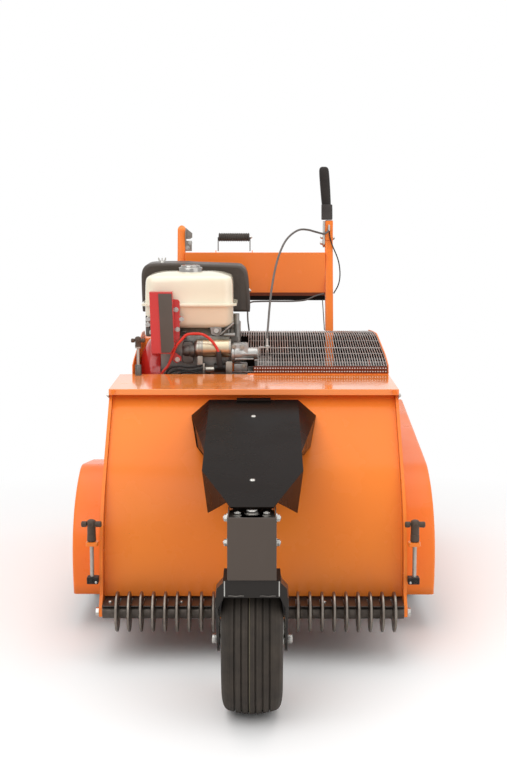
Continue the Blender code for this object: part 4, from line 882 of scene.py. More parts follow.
@dataclass(frozen=True)
class Castor:
    """The castor wheel in its fork, with the arm, the steering head and its cover."""

    trail_y: float = -0.34
    axle_z: float = 0.165
    swivel_y: float = -0.425
    half_width: float = 0.0675
    radius: float = 0.165
    bead: float = 0.0755
    grooves: tuple[float, ...] = (-0.038, -0.023, -0.0075, 0.0075, 0.023, 0.038)

    def tread(self) -> list[Pair]:
        """The tyre's closed section: a crown that falls with the square of X, round-bottomed grooves, sides
        that swell and come in to the bead."""
        shoulder, fall, groove, half_groove, groove_wall = 0.0527, 0.008, 0.0042, 0.0021, 0.0009
        x = np.linspace(shoulder, -shoulder, 300)
        crown = self.radius - fall * (x / shoulder) ** 2
        away = np.min(np.abs(x[:, None] - np.array(self.grooves)[None]), axis=1)
        depth = groove * np.clip((half_groove - away) / groove_wall, 0.0, 1.0)
        section = list(zip(x, crown - depth))
        edge = flowing([(-shoulder, 0.157), (-0.06, 0.1515), (-0.0652, 0.14), (-self.half_width, 0.122),
                        (-0.0655, 0.104), (-0.059, 0.09), (-0.05, 0.082), (-0.0468, 0.0775),
                        (-0.044, self.bead)], 30)
        return [*section, *map(tuple, edge[1:]), *[(-a, r) for a, r in edge[::-1]][:-1]]

    def build(self, bench: Bench) -> None:
        """Lay wheel, fork, arm, head and cover."""
        centre = (self.trail_y, self.axle_z)
        tyre = spin(self.tread(), Axis.X, centre, 128, ring=True)
        bench.lay("castor_tread", tyre, Body.CASTOR, TREAD, ["castor_tyre"], sharp=45.0)
        rim = [(0.046, 0.0104), (0.046, 0.02), (0.03, 0.022), (0.021, 0.026), (0.018, 0.045), (0.022, 0.058),
               (0.034, 0.064), (0.042, 0.068), (0.045, 0.0741), (0.041, 0.0741)]
        bench.lay("castor_rim", spin(both_ends(rim), Axis.X, centre, 64, ring=True), Body.CASTOR, RIM_WHITE,
                  ["castor_hub"])
        bench.soften("castor_fork", "fork_strap", Body.FORK, BLACK_FRAME, 0.0016, 3)
        ends = [(0.0904, 0.0085), (0.089, 0.0105), (0.081, 0.0105), (0.0794, 0.01), (0.0726, 0.01),
                (0.0726, 0.0135), (0.0712, 0.015), (0.048, 0.015), (0.0465, 0.0135), (0.0465, 0.01)]
        bench.lay("castor_pin", lathe(both_ends(ends), Axis.X, centre, 40), Body.FORK, ZINC, ["castor_axle"])
        bench.soften("castor_arm", "arm_tube", Body.CHASSIS, BLACK_FRAME, 0.002)
        bench.soften("head_cover", "head_sheet", Body.CHASSIS, GREY_COVER, 0.0014, 3)
        self.fasteners(bench)

    def fasteners(self, bench: Bench) -> None:
        """Lay the head's bolts and nuts, zinc strips that paint the highlights on the fork's edges, its weld
        beads and the hub spacers.

        The web over the tyre stays a set reach from the axle: its height is the root of the reach squared
        less the web's distance ahead of the axle squared.
        """
        nut = bolt_head(Axis.X, 1, 0.0135, 0.0078)
        sides = nut.moved(0.0525, -0.45, 0.469).plus(nut.moved(0.0525, -0.45, 0.415)).both_sides()
        tops = bolt_head(Axis.Z, 1, 0.0125, 0.008)
        pair = tops.moved(0.0315, -0.436, 0.47).both_sides()
        bench.lay("head_bolts", sides.plus(pair), Body.CHASSIS, ZINC)
        ledge = slab((-0.0488, 0.0488), (-0.4825, -0.38), (0.4665, 0.47))
        bench.lay("head_ledge", ledge, Body.CHASSIS, BLACK_FRAME, edge=0.0008)
        stem_nut = cylinder((0.4715, 0.4732), 0.0165, Axis.Z, (0.0, self.swivel_y), 36)
        crown_nut = lathe([(0.4732, 0.0118), (0.4795, 0.0118), (0.4812, 0.0096)], Axis.Z, (0.0, self.swivel_y),
                          6)
        bench.lay("stem_nut", stem_nut.plus(crown_nut), Body.FORK, ZINC)
        # Painted highlight: zinc strips on the fork's front edges stand for the glints along them.
        strip = slab((0.0572, 0.0598), (-0.4842, -0.47), (0.3055, 0.3388)).both_sides()
        bench.lay("fork_edge_highlights", strip, Body.FORK, ZINC, edge=0.0006)
        run = np.linspace(0.0, 1.0, 60)
        bead = 0.0013 + 0.0005 * np.abs(np.sin(run * 40.0))
        path = Axis.X.place(0.017 + 0.034 * run, -0.4832, 0.3062 + 0.0006 * np.sin(run * 9.0))
        bench.lay("fork_welds", sweep(path, bead, 8, (0, 0, 1)).both_sides(), Body.FORK, DARK_ALLOY)
        cheek = prism([(0.0596, 0.3374), (0.0752, 0.3225), (0.0772, 0.3), (0.0778, 0.2791), (0.0722, 0.2791),
                       (0.0596, 0.3044)], Axis.Y, (-0.4832, -0.4802))
        x = np.array([0.04, 0.046, 0.0527, 0.06, 0.0652, 0.068, 0.0722])
        reach = np.array([0.166, 0.1645, 0.161, 0.1555, 0.144, 0.127, 0.12])
        ahead = 0.091
        low = self.axle_z + np.sqrt(reach**2 - ahead**2)
        outline = [*zip(x, low), (0.0722, 0.299), (0.056, 0.32), (0.04, 0.32)]
        web = prism(outline, Axis.Y, (-0.435, -0.431))
        bench.lay("fork_cheeks", cheek.plus(web).both_sides(), Body.FORK, BLACK_FRAME, edge=0.0006)
        pad = soft_block((-0.356, -0.333), (0.178, 0.214), (0.0676, 0.0728), Axis.X, 0.006, 0.0012)
        bench.lay("fork_spacers", pad.both_sides(), Body.FORK, ZINC)
        seam = spin([(-0.0057, 0.164), (-0.0055, 0.165), (-0.0047, 0.165), (-0.0045, 0.164)], Axis.X,
                    (self.trail_y, self.axle_z), 96, ring=True)
        bench.lay("tread_seam", seam, Body.CASTOR, MOULD_LINE)


@dataclass(frozen=True)
class GuideDiscs:
    """The row of steel guide discs on its hub."""

    count: int = 24
    pitch: float = 0.03
    first: float = -0.3385
    radius: float = 0.05
    thick: float = 0.006
    hub: float = 0.0165
    axis: Pair = (0.0, 0.122)

    def build(self, bench: Bench) -> None:
        """Turn the whole row as one: hub, then each disc with its two cones and chamfers, and so on along X."""
        half, chamfer, long, high, end = self.thick / 2, 0.0012, 0.004, 0.003, 0.3751
        profile = [(-end, self.hub)]
        for x in self.first + self.pitch * np.arange(self.count):
            profile += [(x - half - long, self.hub), (x - half, self.hub + high),
                        (x - half, self.radius - chamfer), (x - half + chamfer, self.radius),
                        (x + half - chamfer, self.radius), (x + half, self.radius - chamfer),
                        (x + half, self.hub + high), (x + half + long, self.hub)]
        profile.append((end, self.hub))
        bench.lay("guide_discs", lathe(profile, Axis.X, self.axis, 56), Body.DISCS, DISC_STEEL, ["disc_roller"],
                  sharp=30.0)
        tube = cylinder((-0.3748, 0.3748), self.hub + 0.0004, Axis.X, self.axis, 48)
        bench.lay("disc_tube", tube, Body.DISCS, TUBE_STEEL)


@dataclass(frozen=True)
class Drive:
    """The rotor with its knives, the drive shaft with its clutch drum, and the belt between them."""

    def build(self, bench: Bench) -> None:
        """Lay the turning parts."""
        bench.soften("rotor", "knife_rotor", Body.ROTOR, WORN_STEEL, 0.0, sharp=30.0)
        bench.soften("drive_shaft", "clutch_drum", Body.DRIVE, DARK_ALLOY, 0.0, sharp=30.0)
        bench.soften("rotor_belt", "belt_loop", Body.CHASSIS, BELT_RUBBER, 0.0008)


@dataclass(frozen=True)
class RearWheels:
    """The rear axle with its tyres, and the folded guards over them."""

    axis: Pair = (0.62, 0.165)
    outer: float = 0.482
    inner: float = 0.3839
    gauge: float = 0.003
    tyre_x: float = 0.395
    lugs: int = 24

    def guard(self, line: Sequence[Point]) -> Surface:
        """A rolled guard for the right side: the line's own run between the plate and a rounded outer edge,
        whose two rings draw the line inwards, then the flat outer face.

        Args:
            line: the guard's front, top and back line as (Y, Z).

        Returns:
            The outer skin, from the plate to the outer face.
        """
        run = np.array(eased(line, 0.03, 4))
        ahead = np.gradient(run, axis=0)
        ahead /= np.linalg.norm(ahead, axis=1, keepdims=True)
        inwards = np.stack([ahead[:, 1], -ahead[:, 0]], axis=1)
        radius = 0.007
        turn = np.linspace(0.0, math.pi / 2, 5)
        xs = np.concatenate([[self.inner], np.linspace(self.inner, self.outer - radius, 4)[1:],
                             (self.outer - radius + radius * np.sin(turn))[1:]])
        draw = np.concatenate([np.zeros(4), (radius * (1 - np.cos(turn)))[1:]])
        flat = run[None] + draw[:, None, None] * inwards[None]
        shell = skin(Axis.X.place(xs[:, None], flat[..., 0], flat[..., 1]))
        return Surface(shell.points, shell.quads, [np.arange(len(run)) + (len(xs) - 1) * len(run)])

    def build(self, bench: Bench) -> None:
        """Lay wheels and guards."""
        front = [(0.252, 0.092), (0.24, 0.15), (0.238, 0.21), (0.252, 0.266), (0.292, 0.326), (0.355, 0.372),
                 (0.442, 0.408)]
        left = self.guard([*front, (0.735, 0.366), (0.87, 0.26), (0.89, 0.092)]).mirrored()
        right = self.guard([*front, (1.18, 0.486), (1.2, 0.33), (1.02, 0.17), (0.93, 0.092)])
        for side, shell in (("left", left), ("right", right)):
            bench.lay(f"wheel_cover_{side}", shell, Body.CHASSIS, ORANGE, [f"wheel_guard_{side}"],
                      gauge=self.gauge, sharp=42.0)
        self.wheels(bench)

    def wheels(self, bench: Bench) -> None:
        """Turn the tyres, with their lugs as blocks repeated round, and the axle with its rims."""
        width, foot, top, share = 0.075, 0.159, 0.1648, 360.0 / self.lugs
        crown = [(0.0, 0.156), (0.012, 0.1605), (0.0375, 0.1612), (0.063, 0.1605), (width, 0.156)]
        side = flowing([(0.075, 0.156), (0.0752, 0.14), (0.076, 0.12), (0.0735, 0.098), (0.069, 0.084),
                        (0.064, 0.0755)], 16) - np.array([0.001, 0.0])
        profile = [*crown, *map(tuple, side[1:]), *[(width - a, r) for a, r in side[::-1]][:-1]]
        ring = spin(profile, Axis.X, self.axis, 72, ring=True)
        lug = slab((0.004, 0.034), (-0.007, 0.007), (foot, top))
        lug = lug.plus(slab((0.041, 0.071), (-0.007, 0.007), (foot, top)).turned(Axis.X, share / 2))
        lugs = [lug.turned(Axis.X, share * k).moved(0.0, *self.axis) for k in range(self.lugs)]
        tyre = ring.plus(*lugs).moved(self.tyre_x)
        for name, shape in (("right", tyre), ("left", tyre.mirrored())):
            bench.lay(f"rear_tread_{name}", shape, Body.AXLE, REAR_TREAD, [f"rear_tyre_{name}"], sharp=35.0)
        rim = [(0.474, 0.0115), (0.473, 0.0125), (0.458, 0.0125), (0.457, 0.02), (0.454, 0.033), (0.447, 0.05),
               (0.444, 0.061), (0.452, 0.066), (0.462, 0.0741), (0.403, 0.0741), (0.405, 0.06), (0.412, 0.03),
               (0.403, 0.022), (0.394, 0.0155), (0.39, 0.0125)]
        bench.lay("rear_shaft", lathe(both_ends(rim), Axis.X, self.axis, 56), Body.AXLE, RIM_WHITE,
                  ["rear_axle"])


@dataclass(frozen=True)
class Engine:
    """The engine on its deck: finned block, cream tank, red covers, air cleaner, muffler and starter."""

    crank: Pair = (0.8, 0.607)
    block_x: Pair = (-0.275, -0.075)
    tank_x: Pair = (-0.3195, -0.0625)
    tank_y: Pair = (0.6795, 0.8585)
    cleaner_front: float = 0.872
    fins: int = 12
    fin_pitch: float = 0.0175

    def pressing(self, x: Point, y: Point, levels: Sequence[Point], corner: float) -> Surface:
        """Rings of a rounded rectangle, each at its own height, grown or drawn in as the pressing swells,
        folds into a rim and closes over.

        Args:
            x, y: the rectangle's sides where nothing grows.
            levels: (height, growth) of each ring from the bottom up.
            corner: the corners' radius where nothing grows.

        Returns:
            The closed shell.
        """
        heights, grow = np.array(levels).T
        middle = np.broadcast_to([sum(x) / 2, sum(y) / 2], (len(grow), 2))
        half = np.array([(x[1] - x[0]) / 2, (y[1] - y[0]) / 2])[None] + grow[:, None]
        return ringed(middle, half, np.maximum(corner + grow * 0.5, 0.01), heights)

    def block(self, bench: Bench) -> None:
        """Lay the block with its fins as one long section, and the deck under it."""
        bench.soften("engine_deck", "deck_sheet", Body.CHASSIS, ORANGE, 0.0014)
        front, step, back, tip = 0.7, 0.88, 0.965, 1.01
        low, high, top, corner = 0.4754, 0.7585, 0.7935, 0.02
        outline = [(front, low), (back, low), (back, 0.56)]
        for z in 0.58 + self.fin_pitch * np.arange(self.fins):
            outline += [(back, z), (tip, z + 0.0012), (tip, z + 0.0048), (back, z + 0.006)]
        outline += [(back, top), (step, top), (step, high), (front + corner, high), (front, high - corner)]
        bench.lay("finned_block", prism(outline, Axis.X, self.block_x), Body.CHASSIS, ALLOY, ["engine_block"],
                  edge=0.0009)

    def tank(self, bench: Bench) -> None:
        """Lay the tank, its cap, its bolt, and the small parts between tank and block."""
        levels = [(0.76, -0.034), (0.7612, -0.026), (0.765, -0.014), (0.771, -0.0045), (0.779, 0.0),
                  (0.824, 0.0), (0.8266, 0.0012), (0.8276, 0.0096), (0.8284, 0.011), (0.8312, 0.0112),
                  (0.8318, 0.0104), (0.8326, 0.0104), (0.8332, 0.011), (0.8346, 0.0098), (0.8354, 0.0012),
                  (0.838, 0.0), (0.87, -0.0006), (0.887, -0.0012), (0.896, -0.0018), (0.902, -0.0028),
                  (0.906, -0.0041), (0.909, -0.006), (0.9115, -0.0086), (0.9135, -0.012), (0.9152, -0.0168),
                  (0.9178, -0.0245), (0.9205, -0.034), (0.9225, -0.044), (0.924, -0.056), (0.9246, -0.069)]
        bench.lay("tank_shell", self.pressing(self.tank_x, self.tank_y, levels, 0.03), Body.CHASSIS, CREAM,
                  ["fuel_tank"], sharp=50.0)
        cap = [(0.9184, 0.034), (0.9196, 0.0355), (0.933, 0.0355), (0.9352, 0.0346), (0.9364, 0.0322),
               (0.9368, 0.0296), (0.9374, 0.0286), (0.9412, 0.028), (0.9424, 0.0262), (0.9424, 0.015),
               (0.9414, 0.0135)]
        bench.lay("tank_cap", lathe(cap, Axis.Z, (-0.189, 0.765), 72), Body.CAP, CHROME, ["fuel_cap"],
                  sharp=50.0)
        plate = prism([(-0.13, 0.769), (-0.097, 0.769), (-0.096, 0.745), (-0.106, 0.7375), (-0.126, 0.744)],
                      Axis.Y, (0.693, 0.6965))
        strut = sweep([(-0.06, 0.69, 0.778), (-0.099, 0.69, 0.744)], 0.0034, 12, (0, 1, 0))
        pipe = sweep([(-0.09, 0.695, 0.743), (-0.057, 0.695, 0.743)], 0.0058, 20, (0, 1, 0))
        pillar = sweep([(-0.054, 0.8, 0.726), (-0.054, 0.8, 0.796)], 0.0085, 20, (0, 1, 0))
        bench.lay("tank_stays", plate.plus(strut, pipe, pillar), Body.CHASSIS, ALLOY, edge=0.0004)
        stud = lathe([(0.693, 0.0078), (0.685, 0.0078), (0.6838, 0.0066)], Axis.Y, (-0.1116, 0.7554))
        bench.lay("tank_bolt", stud, Body.CHASSIS, ZINC)
        body = soft_block((-0.318, -0.2752), (0.69, 0.76), (0.738, 0.799), Axis.Z, 0.006, 0.003)
        bench.lay("carburettor", body, Body.CHASSIS, DARK_ALLOY)
        knob = [(0.69, 0.0072), (0.68, 0.0078), (0.6785, 0.0062)]
        places = ((-0.309, 0.7895), (-0.31, 0.7735), (-0.299, 0.7515))
        knobs = joined([lathe(knob, Axis.Y, place) for place in places])
        bench.lay("carburettor_knobs", knobs, Body.CHASSIS, ZINC)

    def cleaner(self, bench: Bench) -> None:
        """Lay the air cleaner: body, lid with its lip, the slots and bolt on its front and the wing nut."""
        rim = flowing([(-0.338, 0.794), (-0.3418, 0.7985), (-0.343, 0.83), (-0.3443, 0.88), (-0.344, 0.908),
                       (-0.34, 0.924), (-0.332, 0.9345), (-0.32, 0.9395), (-0.3, 0.9415), (-0.26, 0.9425),
                       (-0.205, 0.942), (-0.185, 0.9405), (-0.11, 0.938), (-0.053, 0.9358), (-0.038, 0.931),
                       (-0.027, 0.919), (-0.0215, 0.9), (-0.0174, 0.861), (-0.0144, 0.8), (-0.018, 0.794)], 110)
        middle, half = np.array([-0.1795, 0.868]), np.array([0.165, 0.074])
        back = [(1.022, 0.02), (1.02, 0.008), (1.014, 0.002), (1.0, 0.0), (0.9065, 0.0), (0.906, 0.0014),
                (0.9048, 0.0014), (0.9043, 0.0), (0.881, 0.0), (0.8762, 0.001), (0.8732, 0.0034),
                (0.872, 0.0066), (0.8722, 0.0092), (0.8735, 0.0112)]
        rows = [np.insert(middle + (rim - middle) * (1.0 - inset / half), 1, y, axis=1) for y, inset in back]
        bench.lay("cleaner_case", skin(np.stack(rows), round_columns=True, ends=True), Body.CHASSIS,
                  CLEANER_PLASTIC, ["air_cleaner"], sharp=45.0)
        front = self.cleaner_front + 0.0015
        proud = (front - 0.0004, front + 0.001)
        slots = [slab((-0.0704, -0.0579), proud, (z - 0.0009, z + 0.0009)) for z in (0.8964, 0.8635)]
        seam = slab((-0.0455, -0.0447), proud, (0.812, 0.9187))
        bench.lay("cleaner_slots", seam.plus(*slots), Body.CHASSIS, BOOT_RUBBER)
        stud = (-0.2828, 0.905)
        bolt = bolt_head(Axis.X, 1, 0.01, 0.0045).moved(-0.0175, 0.905, 0.8567)
        hub = lathe([(0.94, 0.0062), (0.9455, 0.0058), (0.9475, 0.0046), (0.948, 0.002), (0.9565, 0.0018)],
                    Axis.Z, stud)
        wing = prism([(0.002, 0.9425), (0.008, 0.9432), (0.0118, 0.95), (0.0124, 0.956), (0.0112, 0.958),
                      (0.009, 0.9572), (0.007, 0.951), (0.002, 0.9465)], Axis.Y, (-0.0015, 0.0015))
        wings = wing.plus(wing.turned(Axis.Z, 180.0)).moved(*stud)
        bench.lay("wing_nut", bolt.plus(hub, wings), Body.CHASSIS, ZINC)

    def covers(self, bench: Bench) -> None:
        """Lay the recoil cover, the control box with its dark panel and ear plate, and the muffler."""
        recoil = [(-0.2754, 0.116), (-0.3, 0.116), (-0.308, 0.115), (-0.316, 0.11), (-0.322, 0.102),
                  (-0.331, 0.086), (-0.337, 0.072), (-0.34, 0.064)]
        bench.lay("recoil_shell", lathe(recoil, Axis.X, self.crank, 72), Body.CHASSIS, RED_PAINT,
                  ["recoil_cover"])
        slot = soft_block((0.02, 0.056), (-0.0022, 0.0022), (-0.3405, -0.338), Axis.X, 0.002, 0.0004)
        fan = [slot.turned(Axis.X, turn).moved(0.0, *self.crank) for turn in np.arange(22.5, 360.0, 45.0)]
        bench.lay("recoil_slots", joined(fan), Body.CHASSIS, BOOT_RUBBER)
        box = prism([(-0.3014, 0.873), (-0.235, 0.873), (-0.2292, 0.7135), (-0.2413, 0.695), (-0.2965, 0.695)],
                    Axis.Y, (0.6265, 0.6676))
        ear = prism([(-0.2366, 0.8496), (-0.2209, 0.8484), (-0.2161, 0.8424), (-0.2165, 0.8), (-0.206, 0.798),
                     (-0.204, 0.7913), (-0.206, 0.785), (-0.2165, 0.783), (-0.2169, 0.7358), (-0.2291, 0.7212),
                     (-0.2342, 0.6968), (-0.2125, 0.6822), (-0.2126, 0.67), (-0.2272, 0.6627), (-0.24, 0.6724),
                     (-0.25, 0.7)], Axis.Y, (0.6636, 0.6666))
        bench.lay("control_panel", box.plus(ear), Body.CHASSIS, RED_PAINT, ["control_box"], edge=0.0012)
        face = prism([(-0.2755, 0.868), (-0.2372, 0.868), (-0.2312, 0.716), (-0.2415, 0.698), (-0.268, 0.698)],
                     Axis.Y, (0.6235, 0.63))
        bench.lay("control_face", face, Body.CHASSIS, PANEL_PLASTIC, edge=0.0015)
        head = bolt_head(Axis.Y, -1, 0.0095, 0.0045)
        places = [(x, 0.6636, z) for x, z in ((-0.2266, 0.8191), (-0.2111, 0.7913), (-0.2227, 0.762),
                                              (-0.2241, 0.6739))]
        bench.lay("panel_bolts", head.copies(places), Body.CHASSIS, ZINC)
        can = soft_block((0.8, 1.01), (0.675, 0.757), (-0.0746, -0.044), Axis.X, 0.016, 0.006)
        bench.lay("muffler_can", can, Body.CHASSIS, EXHAUST, ["muffler"])

    def starter(self, bench: Bench) -> None:
        """Lay the starter: bright end cap and flange, plated body, cast gear case with ribs, solenoid, foot."""
        axis = (0.6725, 0.706)
        cap = [(-0.176, 0.015), (-0.1735, 0.0215), (-0.169, 0.0255), (-0.164, 0.027), (-0.1615, 0.027),
               (-0.1611, 0.0258), (-0.1597, 0.0258), (-0.1593, 0.027), (-0.154, 0.027), (-0.1536, 0.0258),
               (-0.1522, 0.0258), (-0.1518, 0.027), (-0.1488, 0.0268)]
        flange = [(-0.074, 0.0272), (-0.069, 0.0272), (-0.068, 0.0262)]
        plug = [(-0.142, 0.0092), (-0.1405, 0.0102), (-0.117, 0.0102)]
        foot = soft_block((-0.1655, -0.15), (0.654, 0.685), (0.656, 0.69), Axis.Y, 0.003, 0.001)
        tag = soft_block((-0.083, -0.064), (0.632, 0.67), (0.646, 0.66), Axis.Y, 0.003, 0.001)
        post = soft_block((-0.1497, -0.144), (0.632, 0.664), (0.656, 0.664), Axis.Y, 0.002, 0.0006)
        case_bolts = [bolt_head(Axis.Y, -1, 0.0095, 0.005).moved(x, 0.653, z)
                      for x, z in ((-0.06, 0.7125), (-0.0354, 0.7112), (-0.03, 0.656))]
        ends = [lathe(cap, Axis.X, axis, 56), lathe(flange, Axis.X, axis, 56), foot, tag, post,
                lathe(plug, Axis.X, (0.66, 0.6455), 40), *case_bolts]
        bench.lay("starter_ends", joined(ends), Body.CHASSIS, END_STEEL, sharp=40.0)
        body = cylinder((-0.15, -0.073), 0.0262, Axis.X, axis, 56)
        bench.lay("starter_body", body, Body.CHASSIS, GOLD_ZINC, ["starter_motor"])
        nose = [(-0.068, 0.0262), (-0.0655, 0.0285), (-0.059, 0.0285), (-0.0575, 0.025), (-0.038, 0.0242),
                (-0.03, 0.02), (-0.02, 0.0176), (0.008, 0.016), (0.0105, 0.0135)]
        upper = soft_block((-0.064, -0.0185), (0.688, 0.721), (0.656, 0.699), Axis.Y, 0.006, 0.002)
        lower = soft_block((-0.06, -0.02), (0.64, 0.662), (0.656, 0.699), Axis.Y, 0.005, 0.002)
        rib = soft_block((-0.049, 0.006), (-0.002, 0.002), (0.65, 0.67), Axis.Y, 0.0015, 0.0008)
        ribs = rib.copies([(0.0, 0.0, 0.691), (-0.008, 0.0, 0.677)])
        left = soft_block((-0.21, -0.1765), (0.662, 0.725), (0.664, 0.699), Axis.Y, 0.009, 0.003)
        drum = lathe([(-0.209, 0.012), (-0.203, 0.0165), (-0.19, 0.0175), (-0.1894, 0.015), (-0.186, 0.015),
                      (-0.1854, 0.019), (-0.174, 0.019)], Axis.X, (0.67, 0.699), 36)
        fin = soft_block((-0.2105, -0.198), (0.675, 0.699), (-0.0016, 0.0016), Axis.Z, 0.002, 0.0004)
        fins = fin.copies([(0.0, 0.0, 0.73 + 0.008 * k) for k in range(4)])
        bench.lay("starter_nose", lathe(nose, Axis.X, (0.674, 0.69), 48).plus(upper, lower, ribs), Body.CHASSIS,
                  BRIGHT_ALLOY)
        bench.lay("starter_castings", left.plus(drum, fins), Body.CHASSIS, DARK_ALLOY, sharp=40.0)
        coil = cylinder((-0.1172, -0.084), 0.0125, Axis.X, (0.662, 0.65), 40)
        bench.lay("starter_coil", coil, Body.CHASSIS, BLACK_FRAME)

    def leads(self, bench: Bench) -> None:
        """Lay the red battery lead with its boot, the black harness and the clutch cable's stop."""
        ends = [(-0.262, 0.665, 0.478), (-0.272, 0.655, 0.52), (-0.275, 0.645, 0.6)]
        rest = [(-0.2669, 0.6365), (-0.2498, 0.6584), (-0.2375, 0.6875), (-0.2253, 0.7166), (-0.2107, 0.7335),
                (-0.1962, 0.748), (-0.1769, 0.7516), (-0.1529, 0.7504), (-0.1337, 0.7408), (-0.1194, 0.7263),
                (-0.1086, 0.7093), (-0.1026, 0.6948)]
        lead = flowing([*ends, *[(x, 0.64, z) for x, z in rest]], 110)
        bench.lay("battery_lead", sweep(lead, 0.004, 14, (0, 1, 0)), Body.CHASSIS, RED_LEAD)
        boot = flowing([(-0.1034, 0.64, 0.7), (-0.1022, 0.642, 0.685), (-0.0993, 0.65, 0.656)], 14)
        bench.lay("lead_boot", sweep(boot, np.linspace(0.0068, 0.009, 14), 20, (0, 1, 0)), Body.CHASSIS,
                  BOOT_RUBBER)
        loops = [[(-0.27, 0.65, 0.56), (-0.26, 0.645, 0.62), (-0.2475, 0.64, 0.6487), (-0.2209, 0.64, 0.6572),
                  (-0.192, 0.645, 0.6535), (-0.16, 0.655, 0.656), (-0.145, 0.662, 0.662)],
                 [(-0.262, 0.655, 0.478), (-0.25, 0.65, 0.57), (-0.225, 0.645, 0.628), (-0.1897, 0.645, 0.6414),
                  (-0.15, 0.655, 0.63), (-0.13, 0.665, 0.635), (-0.118, 0.668, 0.652)]]
        harness = [sweep(flowing(loop, 60), 0.0032, 12, (0, 1, 0)) for loop in loops]
        harness.append(harness[0].moved(0.004, 0.006, -0.012))
        bench.lay("harness", joined(harness), Body.CHASSIS, GRIP_RUBBER)
        shelf = slab((0.012, 0.0445), (0.701, 0.722), (0.703, 0.706))
        drop = slab((0.012, 0.015), (0.696, 0.722), (0.666, 0.706))
        foot = slab((0.0, 0.015), (0.69, 0.722), (0.666, 0.669))
        cable = (0.0366, 0.7115)
        adjuster = lathe([(0.696, 0.0042), (0.703, 0.0042), (0.7062, 0.0042), (0.7306, 0.0044)], Axis.Z, cable,
                         20)
        nuts = bolt_head(Axis.Z, 1, 0.012, 0.005).moved(*cable, 0.706)
        wire = sweep([(*cable, 0.698), (*cable, 0.64)], 0.0011, 8, (0, 1, 0))
        stop = cylinder((0.64, 0.633), 0.0045, Axis.Z, cable, 16)
        arm = slab((-0.074, 0.042), (0.706, 0.717), (0.629, 0.6325))
        bench.lay("cable_stop", shelf.plus(drop, foot, adjuster, nuts, wire, stop, arm), Body.CHASSIS, ZINC,
                  edge=0.0004)

    def build(self, bench: Bench) -> None:
        """Lay the engine's pieces."""
        self.block(bench)
        self.tank(bench)
        self.cleaner(bench)
        self.covers(bench)
        self.starter(bench)
        self.leads(bench)


